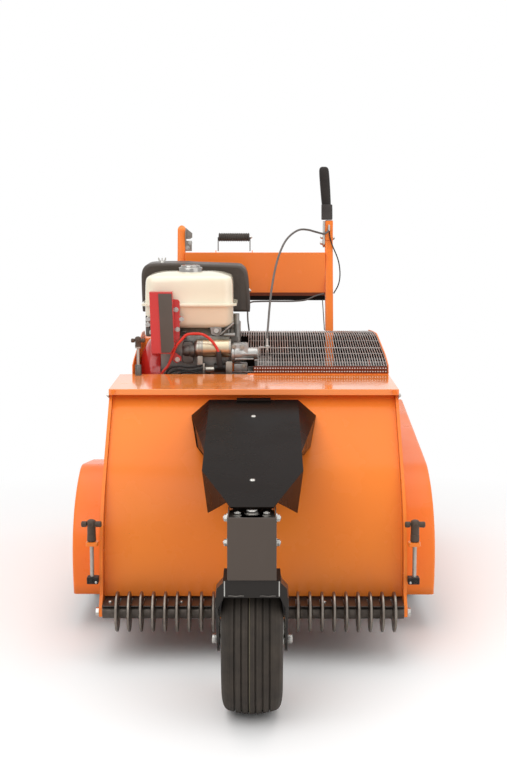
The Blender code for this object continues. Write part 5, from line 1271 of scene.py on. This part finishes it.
@dataclass(frozen=True)
class Guard:
    """The wire guard over the drive on the right, its strip and its end plates.

    The wires follow 41 points through the line. Those left of clear_of_starter begin at the point numbered
    past_starter, and left_wires more, left of them all, at the one numbered past_side.
    """

    x: Pair = (-0.02, 0.38)
    line: tuple[Pair, ...] = ((0.588, 0.664), (0.638, 0.674), (0.78, 0.6965), (0.924, 0.72), (1.06, 0.717))
    wires: int = 55
    wire: float = 0.0015
    left_wires: int = 4
    clear_of_starter: float = 0.008
    past_starter: int = 14
    past_side: int = 28
    lean: tuple[Pair, ...] = ((0.7, 0.0), (0.79, 0.0025), (0.882, 0.005), (0.95, 0.008), (1.0, 0.011),
                              (1.04, 0.016), (1.06, 0.02), (1.084, 0.0215))

    def leaned(self, surface: Surface) -> Surface:
        """Draw the right end inwards towards the back, more the nearer a point is to the end and the top."""
        back, reach = np.array(self.lean).T
        x, y, z = surface.points.T
        straight_x, straight_z, rise = 0.1, 0.56, 0.13
        near = np.clip((x - straight_x) / (self.x[1] - straight_x), 0.0, 1.0) ** 2
        points = surface.points.copy()
        points[:, 0] -= np.interp(y, back, reach) * near * np.clip((z - straight_z) / rise, 0.0, 1.0)
        return Surface(points, surface.quads, surface.ends)

    def plate(self, x: Point, over_wires: float) -> Surface:
        """A sheet in the right end: columns of levels between its lower line and a line set off from the wires.

        Args:
            x: its two faces.
            over_wires: height of its top over the wires' line.

        Returns:
            The closed sheet.
        """
        rise = [(y, z + over_wires) for y, z in self.line[1:]]
        over = np.array([(0.586, 0.648), (0.588, 0.664 + over_wires), *rise, (1.075, 0.69), (1.084, 0.501)])
        under = np.array([(0.586, 0.646), (0.623, 0.5004), (1.084, 0.5004)])
        y = np.unique(np.concatenate([over[:, 0], under[:, 0], np.linspace(0.588, 1.06, 40)]))
        share = np.linspace(0.0, 1.0, 9)
        low = np.interp(y, *under.T)[:, None]
        z = low + share[None] * (np.interp(y, *over.T)[:, None] - low)
        wide = np.repeat(np.array(x), len(share))[None]
        place = Axis.X.place(wide, y[:, None], np.hstack([z, z[:, ::-1]]))
        return skin(place, round_columns=True, ends=True)

    def build(self, bench: Bench) -> None:
        """Lay the wires and their ties, the plates, the studded strip and the black sheets inside that paint
        its shade.
        """
        path = flowing(self.line, 41)
        along = np.insert(path, 0, 0.0, axis=1)
        places = np.linspace(self.x[0] + self.wire, self.x[1] - self.wire, self.wires)
        spots = Axis.X.place(places, 0.0, 0.0)
        near = places < self.clear_of_starter
        whole = sweep(along, self.wire, 6).copies(spots[~near])
        behind = sweep(along[self.past_starter:], self.wire, 6).copies(spots[near])
        reach = np.arange(1.0, self.left_wires + 1.0) * (self.x[1] - self.x[0] - 2 * self.wire)
        further = Axis.X.place(reach / (1 - self.wires), 0.0, 0.0)
        behind = behind.plus(sweep(along[self.past_side:], self.wire, 6).copies(spots[:1] + further))
        ties = []
        for index, radius in ((0, 0.0016), (3, 0.0007), (6, 0.0007), (9, 0.0011), (12, 0.0007), (16, 0.0007),
                              (20, 0.0013), (25, 0.0007), (30, 0.0007), (35, 0.0007), (40, 0.0016)):
            start = self.clear_of_starter if index < self.past_starter else self.x[0]
            start -= 0.03 if index >= self.past_side else 0.0
            x = np.linspace(start, self.x[1], 12)
            y, z = path[index]
            ties.append(sweep(Axis.X.place(x, y, z - 0.0018), radius, 6, (0, 0, 1)))
        bench.lay("guard_wires", self.leaned(whole.plus(behind, *ties)), Body.CHASSIS, GUARD_WIRE,
                  ["grid_guard"], sharp=60.0)
        bench.soften("guard_plate_left", "guard_sheet_left", Body.CHASSIS, ORANGE, 0.0008)
        bench.lay("guard_sheet_right", self.leaned(self.plate((0.3804, 0.3835), 0.004)), Body.CHASSIS, ORANGE,
                  ["guard_plate_right"], edge=0.0006)
        self.strip(bench)
        self.inside(bench)

    def strip(self, bench: Bench) -> None:
        """Lay the strip in front: a plain foot, a band above it painted dark as shade, and two rows of wire
        ends.
        """
        foot = slab((-0.019, 0.38), (0.5804, 0.5834), (0.628, 0.644))
        bench.lay("guard_foot", foot, Body.CHASSIS, ORANGE, ["guard_strip"], edge=0.0005)
        # Painted shade: the band's dark orange stands for the shade behind the wires.
        band = slab((-0.002, 0.38), (0.5806, 0.584), (0.6436, 0.6646))
        bench.lay("guard_shaded_band", band, Body.CHASSIS, SHADED_ORANGE, edge=0.0005)
        end = spin([(0.0, 0.0022), (-0.0012, 0.002), (-0.0018, 0.001), (-0.0019, 0.0)], Axis.Y, steps=8)
        rows = [(x, 0.5806, z) for z in (0.6494, 0.6589) for x in np.arange(0.002, 0.377, 0.0073)]
        bench.lay("guard_wire_ends", end.copies(rows), Body.CHASSIS, ZINC)

    def inside(self, bench: Bench) -> None:
        """Lay black sheets that paint the shade inside the guard, on the deck under it, as a wall behind it and
        inside its right plate; and the bolts of its plate.
        """
        # Painted shade: black sheets on the deck, behind the guard and inside its right plate darken what shows
        # through the wires.
        floor = slab((0.006, 0.349), (0.592, 1.05), (0.4752, 0.4772))
        liner = self.leaned(self.plate((0.379, 0.3801), -0.006))
        wall = slab((-0.048, 0.37), (1.1452, 1.1484), (0.476, 0.704))
        bench.lay("guard_shade_sheets", floor.plus(wall, liner), Body.CHASSIS, BLACK_SHEET)
        bolt = bolt_head(Axis.X, 1, 0.009, 0.0045)
        heads = bolt.moved(0.38, 0.836, 0.6375).plus(bolt.moved(0.3735, 1.0, 0.66),
                                                     bolt.moved(0.3835, 0.64, 0.64))
        bench.lay("guard_bolts", heads, Body.CHASSIS, ZINC)


@dataclass(frozen=True)
class Handle:
    """Uprights, crossbeam, rear bar with grips, clutch lever, drive bail and the three cables."""

    upright_x: float = 0.2395
    upright_y: float = 1.081
    upright_half: Pair = (0.0125, 0.02)
    bar_z: float = 0.93
    lever_pivot: Pair = (1.2, 0.99)
    crown_z: float = 1.0325
    crown_radius: float = 0.0145

    def build(self, bench: Bench) -> None:
        """Lay the handle's pieces."""
        bench.lay("upright_bar_left", self.upright().mirrored(), Body.CHASSIS, ORANGE, ["upright_left"])
        bench.lay("upright_bar_right", self.upright(), Body.CHASSIS, ORANGE, ["upright_right"])
        crown = [*arc(self.lever_pivot, 0.0738, 62.0, 104.0, 14), (1.1835, 1.0), (1.227, 1.0)]
        bench.lay("lever_quadrant", prism(crown, Axis.X, (0.2274, 0.2518)), Body.CHASSIS, ORANGE, edge=0.001)
        # Painted light and shade: the crossbeam's orange is painted lighter, its fold dark orange for its
        # shaded underside, and the black bar below for the shade behind.
        bench.soften("crossbeam", "crossbeam_sheet", Body.CHASSIS, LIT_ORANGE_BEAM, 0.0012, 3)
        fold = slab((-0.2264, 0.2264), (1.1505, 1.1535), (0.822, 0.8325))
        bench.lay("beam_shaded_fold", fold, Body.CHASSIS, SHADED_ORANGE, edge=0.0006)
        bar = slab((-0.2264, 0.2264), (1.151, 1.153), (0.8074, 0.8222))
        bench.lay("beam_shade_bar", bar, Body.CHASSIS, BLACK_SHEET, edge=0.0006)
        corner = arc((-0.1945, 1.289), 0.045, 180.0, 90.0, 14)
        left = [(x, y, self.bar_z) for x, y in ((-self.upright_x, 1.2129), (-self.upright_x, 1.25), *corner)]
        bar = [*left, *((-x, y, z) for x, y, z in reversed(left))]
        bench.lay("rear_bar", sweep(bar, 0.0125, 24, (0, 0, 1)), Body.CHASSIS, BLACK_FRAME, ["handlebar"])
        profile = [(0.06, 0.0129), (0.06, 0.0156), (0.0612, 0.0165), (0.0648, 0.0165)]
        for x in np.linspace(0.066, 0.174, 19):
            profile += [(x, 0.0165), (x + 0.0012, 0.0154), (x + 0.0028, 0.0154), (x + 0.004, 0.0165)]
        profile += [(0.179, 0.0165), (0.18, 0.0156), (0.18, 0.0129)]
        grip = spin(profile, Axis.X, (1.334, self.bar_z), 48, ring=True)
        for (side, _), shape in zip(SIDES, (grip.mirrored(), grip)):
            bench.lay(f"rear_grip_{side}", shape, Body.CHASSIS, GRIP_RUBBER, [f"handlebar_grip_{side}"])
        self.levers(bench)
        self.brackets(bench)
        self.cables(bench)

    def upright(self) -> Surface:
        """The right upright: rings that rise straight, lean back above the bend and close in a round crown.

        A crown ring's half side is the root of the crown radius squared less its height above the crown's
        centre squared, across and along the machine alike.
        """
        swell = self.crown_radius * np.sin(np.linspace(0.0, math.pi / 2, 9)[:-1])
        rise = np.concatenate([[0.4, 0.4008], np.linspace(0.5, 0.54, 6), np.linspace(0.6, 1.02, 8),
                               self.crown_z + swell, [1.0469]])
        lean = np.interp(rise, [0.4, 0.5, 0.52, 0.54, 1.025], [0.0, 0.0, 0.0022, 0.0062, 0.1325])
        over = np.clip((rise - self.crown_z) / self.crown_radius, 0.0, 0.995)
        closing = np.sqrt(1.0 - over**2)
        rim = np.where(rise < 0.4004, 0.0008, 0.0)
        wide, deep = self.upright_half
        half = np.stack([wide * closing - rim, deep * (1.0 - over**2 * 0.62) * np.maximum(closing, 0.35) - rim],
                        axis=1)
        middle = np.stack([np.full_like(rise, self.upright_x), self.upright_y + lean], axis=1)
        return ringed(middle, half, np.minimum(0.003, half.min(axis=1) * 0.95), rise, 4)

    def levers(self, bench: Bench) -> None:
        """Lay the clutch lever with its boot and moulded grip, and the bail with its ribbed roller."""
        bench.soften("clutch_lever", "lever_blade", Body.LEVER, ZINC, 0.001)
        turn = np.linspace(0.0, 2 * math.pi, 48, endpoint=False)[None]
        squareness = 0.75
        across = np.sign(np.cos(turn)) * np.abs(np.cos(turn)) ** squareness
        deep = np.sign(np.sin(turn)) * np.abs(np.sin(turn)) ** squareness

        def rings(levels: Sequence[Point], count: int) -> Surface:
            """A loft of rounded squares through (rise, centre X, half width, half depth, lean)."""
            rise, middle, wide, thick, lean = flowing(levels, count).T[:, :, None]
            y, z = self.lever_pivot
            place = Axis.Z.place(z + rise, middle + wide * across, y + lean + thick * deep)
            return skin(place, round_columns=True, ends=True)

        boot = rings([(0.0752, 0.2325, 0.0165, 0.015, -0.001), (0.0775, 0.2327, 0.018, 0.0165, -0.001),
                      (0.09, 0.2327, 0.0181, 0.0166, -0.0015), (0.12, 0.2322, 0.0179, 0.0165, -0.003),
                      (0.124, 0.2318, 0.0172, 0.0158, -0.003), (0.125, 0.2312, 0.015, 0.014, -0.003)], 20)
        bench.lay("lever_boot", boot, Body.LEVER, BOOT_RUBBER)
        knob = rings([(0.12, 0.2306, 0.0148, 0.0136, -0.003), (0.145, 0.2287, 0.0156, 0.0143, -0.0042),
                      (0.175, 0.2264, 0.0161, 0.0148, -0.0056), (0.21, 0.2236, 0.0163, 0.015, -0.008),
                      (0.228, 0.2222, 0.0159, 0.0147, -0.0092), (0.237, 0.2216, 0.0147, 0.0134, -0.01),
                      (0.2425, 0.2214, 0.012, 0.011, -0.0106), (0.2455, 0.2214, 0.007, 0.0066, -0.011)], 48)
        bench.lay("lever_knob", knob, Body.LEVER, BLACK_PLASTIC, ["clutch_grip"])
        pivot_y, pivot_z, left, right, rod = 1.186, 0.9645, -0.1202, -0.0168, 0.0016
        roller_z = pivot_z + 0.045
        hoop = np.array([(left, pivot_y, pivot_z), (left, pivot_y, roller_z), (right, pivot_y, roller_z),
                         (right, pivot_y, pivot_z)])
        wire = sweep(hoop[:2], rod, 12).plus(sweep(hoop[2:], rod, 12))
        core = sweep(hoop[1:3] + np.array([(-rod, 0, 0), (rod, 0, 0)]), 0.0034, 16)
        foot = sweep(hoop[[0, 3]] + np.array([(-0.0038, 0, 0), (0.0036, 0, 0)]), 0.0026, 16)
        bench.lay("bail_frame", wire.plus(core, foot), Body.BAIL, DARK_ALLOY, ["drive_bail"])
        nut = bolt_head(Axis.X, 1, 0.008, 0.0042).moved(right + rod, pivot_y, roller_z)
        bench.lay("bail_nut", nut, Body.BAIL, ZINC)
        ribs = np.linspace(-0.1185, -0.0185, 15)[::-1]
        profile = [(ribs[0], 0.004), (ribs[0], 0.011)]
        for high, low in zip(ribs, ribs[1:]):
            profile += [(high - 0.0008, 0.0118), (high - 0.0026, 0.0139), (high - 0.0046, 0.0139),
                        (low + 0.0008, 0.0118)]
        profile += [(ribs[-1], 0.011), (ribs[-1], 0.004)]
        roll = spin(profile, Axis.X, (pivot_y, roller_z), 40, ring=True)
        bench.lay("bail_roller", roll, Body.BAIL, ROLLER_FOAM, ["bail_grip"])
        lug = soft_block((1.178, 1.192), (0.956, 0.9674), (-0.0012, 0.0012), Axis.X, 0.004, 0.0004)
        bench.lay("bail_lugs", lug.moved(-0.1275).plus(lug.moved(-0.0095)), Body.CHASSIS, ORANGE)

    def brackets(self, bench: Bench) -> None:
        """Lay the plated bracket at the left upright, the bolts, the cable's clip and the leads' stay."""
        plate = prism([(-0.2266, 1.04), (-0.2045, 1.022), (-0.2045, 1.008), (-0.212, 1.003), (-0.2266, 1.003)],
                      Axis.Y, (1.196, 1.199))
        lower = slab((-0.2268, -0.2055), (1.184, 1.187), (0.9645, 0.998))
        tie = slab((-0.2268, -0.2238), (1.184, 1.204), (0.9645, 1.03))
        heads = bolt_head(Axis.Y, -1, 0.009, 0.004)
        places = [(-0.2107, 1.184, 0.9913), (-0.219, 1.184, 0.9751)]
        bench.lay("handle_brackets", plate.plus(lower, tie), Body.CHASSIS, EXHAUST, edge=0.0004)
        pivot = bolt_head(Axis.X, -1, 0.011, 0.007).moved(0.219, 1.2, 0.99)
        outside = bolt_head(Axis.X, 1, 0.011, 0.0055).moved(0.2519, 1.2, 1.0065)
        bench.lay("handle_bolts", heads.copies(places).plus(pivot, outside), Body.CHASSIS, ZINC)
        upper = bolt_head(Axis.X, -1, 0.011, 0.007).moved(0.2195, 1.2, 1.009)
        bench.lay("lever_bolt", upper, Body.LEVER, ZINC)
        clip = soft_block((0.236, 0.242), (1.03, 1.05), (1.175, 1.1935), Axis.Y, 0.0025, 0.0006)
        bench.lay("cable_clip", clip, Body.CHASSIS, ZINC)
        stay = sweep([(0.218, 1.15, 0.809), (0.2235, 1.116, 0.714)], 0.0016, 8)
        bench.lay("lead_stay", stay, Body.CHASSIS, DARK_ALLOY)

    def cables(self, bench: Bench) -> None:
        """Lay the clutch cable, the throttle cable and the gas cable under the crossbeam."""
        clutch = [(0.2391, 1.18, 1.048), (0.237, 1.178, 1.033), (0.23, 1.174, 1.024), (0.2188, 1.17, 1.0215),
                  (0.1935, 1.158, 1.028), (0.168, 1.136, 1.035), (0.14, 1.103, 1.0355), (0.112, 1.062, 1.02),
                  (0.09, 1.02, 0.994), (0.07, 0.97, 0.947), (0.055, 0.9, 0.885), (0.046, 0.83, 0.825),
                  (0.04, 0.76, 0.762), (0.037, 0.718, 0.735), (0.0366, 0.7115, 0.724)]
        bench.lay("clutch_sheath", sweep(flowing(clutch, 120), 0.0032, 14, (0.2, 0.1, -0.9)), Body.CHASSIS,
                  SHEATH, ["clutch_cable"])
        throttle = [(0.24, 1.184, 1.031), (0.242, 1.181, 1.01), (0.25, 1.176, 0.9836), (0.266, 1.17, 0.945),
                    (0.273, 1.163, 0.915), (0.2741, 1.157, 0.8832), (0.268, 1.147, 0.856),
                    (0.2535, 1.1365, 0.831)]
        bench.lay("throttle_sheath", sweep(flowing(throttle, 60), 0.002, 10), Body.CHASSIS, BLACK_PLASTIC,
                  ["throttle_cable"])
        gas = [(0.2225, 1.147, 0.829), (0.195, 1.147, 0.822), (0.164, 1.147, 0.809), (0.12, 1.147, 0.8048),
               (0.05, 1.147, 0.8045), (0.01, 1.144, 0.804), (-0.012, 1.138, 0.8025), (-0.021, 1.13, 0.795),
               (-0.0238, 1.12, 0.78), (-0.0232, 1.096, 0.75), (-0.0195, 1.084, 0.72), (-0.016, 1.07, 0.692)]
        bench.lay("gas_sheath", sweep(flowing(gas, 80), 0.0026, 10, (0, 0, 1)), Body.CHASSIS, SHEATH)


@dataclass(frozen=True)
class Screws:
    """The T-handled adjusting screws, their nut blocks and the tabs that guide them."""

    side_x: float = 0.4
    rotor_xy: Pair = (-0.3285, 0.555)
    pitch: float = 0.0018

    def handle(self, neck: float, bar: Point, size: float = 1.0) -> Surface:
        """A moulded T about Z: a stem with a collar, a domed boss with a button and two blunt arms.

        Args:
            neck: bottom of the stem.
            bar: bottom and top of the arms.
            size: how large all radii and the reach are against the depth screws' handle.

        Returns:
            The handle on the Z axis.
        """
        low, high = bar
        half = neck + 0.5 * (low - neck)
        stem = [(neck, 0.0), (neck, 0.0104), (neck + 0.001, 0.0112), (half - 0.001, 0.0108),
                (half - 0.0003, 0.0101), (half + 0.0005, 0.0101), (half + 0.0012, 0.0105), (low, 0.0103),
                (low + 0.008, 0.0116), (high - 0.0045, 0.0108), (high - 0.002, 0.0084), (high - 0.0004, 0.0046),
                (high, 0.0)]
        turn = np.linspace(0.0, math.pi / 2, 6)
        middle, reach, radius, corner = (low + high) / 2 - 0.003, 0.0252, 0.0076, 0.0036
        arm = [(0.0, radius * 0.9), (0.012, radius * 0.93), (0.018, radius * 0.98)]
        arm += list(zip(reach - corner + corner * np.sin(turn), radius - corner + corner * np.cos(turn)))
        arm += [(reach, 0.0)]
        arm += [(-a, r) for a, r in reversed(arm[1:])]
        arms = spin([(a * size, r * size) for a, r in arm], Axis.X, (0.0, middle), 28)
        button = round_head(Axis.Y, -1, 0.0072 * size, 0.0016).moved(0.0, -0.011 * size, middle)
        return spin([(a, r * size) for a, r in stem], Axis.Z, steps=36).plus(arms, button)

    def rod(self, low: float, high: float, radius: float) -> Surface:
        """A worn rolled thread about Z: crest and root alternate every half pitch."""
        z = np.arange(low + 0.001, high - 0.001, self.pitch / 2)
        radii = np.where(np.arange(len(z)) % 2 == 0, radius * 0.965, radius)
        return lathe([(low, radius * 0.8), *zip(z, radii), (high, radius)], Axis.Z, steps=18)

    def build(self, bench: Bench) -> None:
        """Lay handles, rods, nut blocks and tabs."""
        depth, steel = self.handle(0.3025, (0.3385, 0.3575)), self.rod(0.1955, 0.304, 0.0052)
        collar = lathe([(0.2882, 0.0062), (0.2908, 0.0072)], Axis.Z)
        for (side, sign), body in zip(SIDES, (Body.SCREW_LEFT, Body.SCREW_RIGHT)):
            bench.lay(f"depth_tee_{side}", depth.moved(sign * self.side_x), body, TEE_PLASTIC,
                      [f"depth_screw_{side}"])
            bench.lay(f"depth_rod_{side}", steel.plus(collar).moved(sign * self.side_x), body, ROD_STEEL)
            bench.soften(f"depth_block_{side}", f"depth_nut_{side}", Body.CHASSIS, BLACK_PLASTIC, 0.0008)
        tab = soft_block((0.3836, 0.4135), (-0.0135, 0.013), (0.2912, 0.301), Axis.Z, 0.006, 0.0008)
        bench.lay("screw_tabs", tab.both_sides(), Body.CHASSIS, ORANGE)
        nut = bolt_head(Axis.Y, -1, 0.0085, 0.0042).moved(0.401, -0.012, 0.203)
        pin = round_head(Axis.Y, -1, 0.0034, 0.002).moved(0.3895, -0.012, 0.2)
        bench.lay("nut_screws", nut.both_sides(), Body.CHASSIS, BLACK_FRAME)
        bench.lay("nut_pins", pin.both_sides(), Body.CHASSIS, ZINC)
        tee = self.handle(0.724, (0.735, 0.753), 0.78)
        bench.lay("rotor_tee", tee.moved(*self.rotor_xy), Body.SCREW_ROTOR, TEE_PLASTIC, ["rotor_screw"])
        washer = cylinder((0.7195, 0.7238), 0.0084, Axis.Z)
        bench.lay("rotor_rod", self.rod(0.615, 0.725, 0.0042).plus(washer).moved(*self.rotor_xy),
                  Body.SCREW_ROTOR, ROD_STEEL)
        nut = lathe([(0.642, 0.0092), (0.6705, 0.0088), (0.6725, 0.0072)], Axis.Z, self.rotor_xy)
        bench.lay("rotor_screw_nut", nut, Body.CHASSIS, DARK_ALLOY)


@dataclass(frozen=True)
class Seeder:
    """The seed hopper with its lid, the metering roller, the chute and the press roller."""

    def build(self, bench: Bench) -> None:
        """Lay the seeder's pieces."""
        bench.soften("hopper", "hopper_sheet", Body.CHASSIS, ORANGE, 0.0008)
        bench.soften("hopper_lid", "lid_sheet", Body.LID, ORANGE, 0.0008)
        bench.soften("metering_roller", "flute_roller", Body.METER, ALLOY, 0.0008)
        bench.soften("seed_chute", "chute_sheet", Body.CHASSIS, ROLLED_STEEL, 0.0008)
        end, shaft, drum, radius = 0.3895, 0.008, 0.372, 0.06
        profile = [(end, shaft), (drum, shaft), (drum, radius - 0.004), (drum - 0.004, radius)]
        roller = lathe(both_ends(profile), Axis.X, (1.22, 0.06), 72)
        bench.lay("press_drum", roller, Body.PRESS, ROLLED_STEEL, ["rear_roller"])


@dataclass(frozen=True)
class Studio:
    """The camera at the photograph's place, lamps, pale floor and pale surroundings."""

    focal_pixels: float = 1400.0
    height_pixels: float = 768.0
    sensor: float = 36.0
    place: Triple = (0.019, -3.8015, 1.17)
    tilt: float = 82.0
    swing: float = 0.307

    def camera(self) -> None:
        """Place the camera; its focal length is the sensor's size times focal over height in pixels."""
        lens = bpy.data.cameras.new("photo_lens")
        lens.sensor_width = self.sensor
        lens.lens = self.sensor * self.focal_pixels / self.height_pixels
        lens.clip_end = 60.0
        camera = bpy.data.objects.new("photo_camera", lens)
        camera.location = self.place
        camera.rotation_euler = (math.radians(self.tilt), 0.0, math.radians(self.swing))
        bpy.context.scene.collection.objects.link(camera)
        bpy.context.scene.camera = camera

    def lamp(self, name: str, place: Point, aim: Point, size: float, power: float) -> None:
        """Hang a square area lamp that faces a point."""
        light = bpy.data.lights.new(name, "AREA")
        light.size, light.energy = size, power
        lamp = bpy.data.objects.new(name, light)
        lamp.location = place
        lamp.rotation_euler = (Vector(aim) - Vector(place)).to_track_quat("-Z", "Y").to_euler()
        bpy.context.scene.collection.objects.link(lamp)

    def mixed(self, tree: bpy.types.NodeTree, *sources: Socket) -> Socket:
        """Mix by a factor, the first source, the two shaders after it."""
        node = tree.nodes.new("ShaderNodeMixShader")
        for entry, source in zip(node.inputs, sources):
            tree.links.new(source, entry)
        return node.outputs[0]

    def white(self, tree: bpy.types.NodeTree, lit: Socket, plain: Socket, rays: Sequence[str]) -> Socket:
        """Show one shader to the named rays and the other to the rest.

        Args:
            tree: the node tree.
            lit: what the other rays meet.
            plain: what the named rays meet.
            rays: outputs of the light path node.

        Returns:
            The joined shader.
        """
        path = tree.nodes.new("ShaderNodeLightPath")
        value = path.outputs[rays[0]]
        for ray in rays[1:]:
            either = tree.nodes.new("ShaderNodeMath")
            either.operation = "MAXIMUM"
            tree.links.new(value, either.inputs[0])
            tree.links.new(path.outputs[ray], either.inputs[1])
            value = either.outputs[0]
        return self.mixed(tree, value, lit, plain)

    def build(self) -> None:
        """Set up the room."""
        self.camera()
        scene = bpy.context.scene
        scene.view_settings.view_transform = "Standard"
        world = bpy.data.worlds.new("room") if scene.world is None else scene.world
        scene.world = world
        world.use_nodes = True
        tree = world.node_tree
        tree.nodes.clear()
        shades = []
        for colour, strength in (((1.0, 0.99, 0.98, 1.0), 0.62), ((1.0, 1.0, 1.0, 1.0), 1.0)):
            shade = tree.nodes.new("ShaderNodeBackground")
            shade.inputs[0].default_value, shade.inputs[1].default_value = colour, strength
            shades.append(shade.outputs[0])
        out = tree.nodes.new("ShaderNodeOutputWorld")
        rays = ("Is Camera Ray", "Is Glossy Ray", "Is Transmission Ray")
        tree.links.new(self.white(tree, *shades, rays), out.inputs[0])
        lamps = [("key", (-1.6, -2.6, 3.2), (0.0, 0.0, 0.4), 3.0, 54.0),
                 ("fill", (2.6, -1.8, 2.0), (0.0, 0.0, 0.5), 3.0, 28.0),
                 ("top", (0.0, 0.4, 3.4), (0.0, 0.1, 0.4), 3.2, 52.0)]
        for lamp in lamps:
            self.lamp(*lamp)
        self.floor()

    def floor(self) -> None:
        """Lay a wide pale floor that turns to plain white away from the machine."""
        bpy.ops.mesh.primitive_plane_add(size=40.0)
        floor = bpy.context.object
        floor.name = "floor"
        graph = Graph("floor_white")
        graph.done(Base_Color=(0.93, 0.93, 0.93, 1.0), Roughness=0.9)
        tree = graph.tree
        glow = tree.nodes.new("ShaderNodeEmission")
        glow.inputs[0].default_value = (1.0, 1.0, 1.0, 1.0)
        spread = graph.feed(graph.node("ShaderNodeVectorMath", operation="LENGTH"), Vector=graph.place)
        far = graph.band(spread.outputs["Value"], 1.1, 2.0)
        shown = self.mixed(tree, far, graph.shader.outputs[0], glow.outputs[0])
        tree.links.new(shown, tree.nodes["Material Output"].inputs[0])
        floor.data.materials.append(graph.material)


def main() -> None:
    """Build the machine and its room in order."""
    logging.basicConfig(level=logging.INFO, format="%(message)s")
    bench = Bench()
    for part in (Housing(), NoseCover(), Castor(), GuideDiscs(), Drive(), RearWheels(), Engine(), Guard(),
                 Handle(), Screws(), Seeder()):
        LOG.info("building %s", type(part).__name__)
        part.build(bench)
    Studio().build()
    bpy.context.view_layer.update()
    LOG.info("%d pieces", bench.count)


if __name__ == "__main__":
    main()
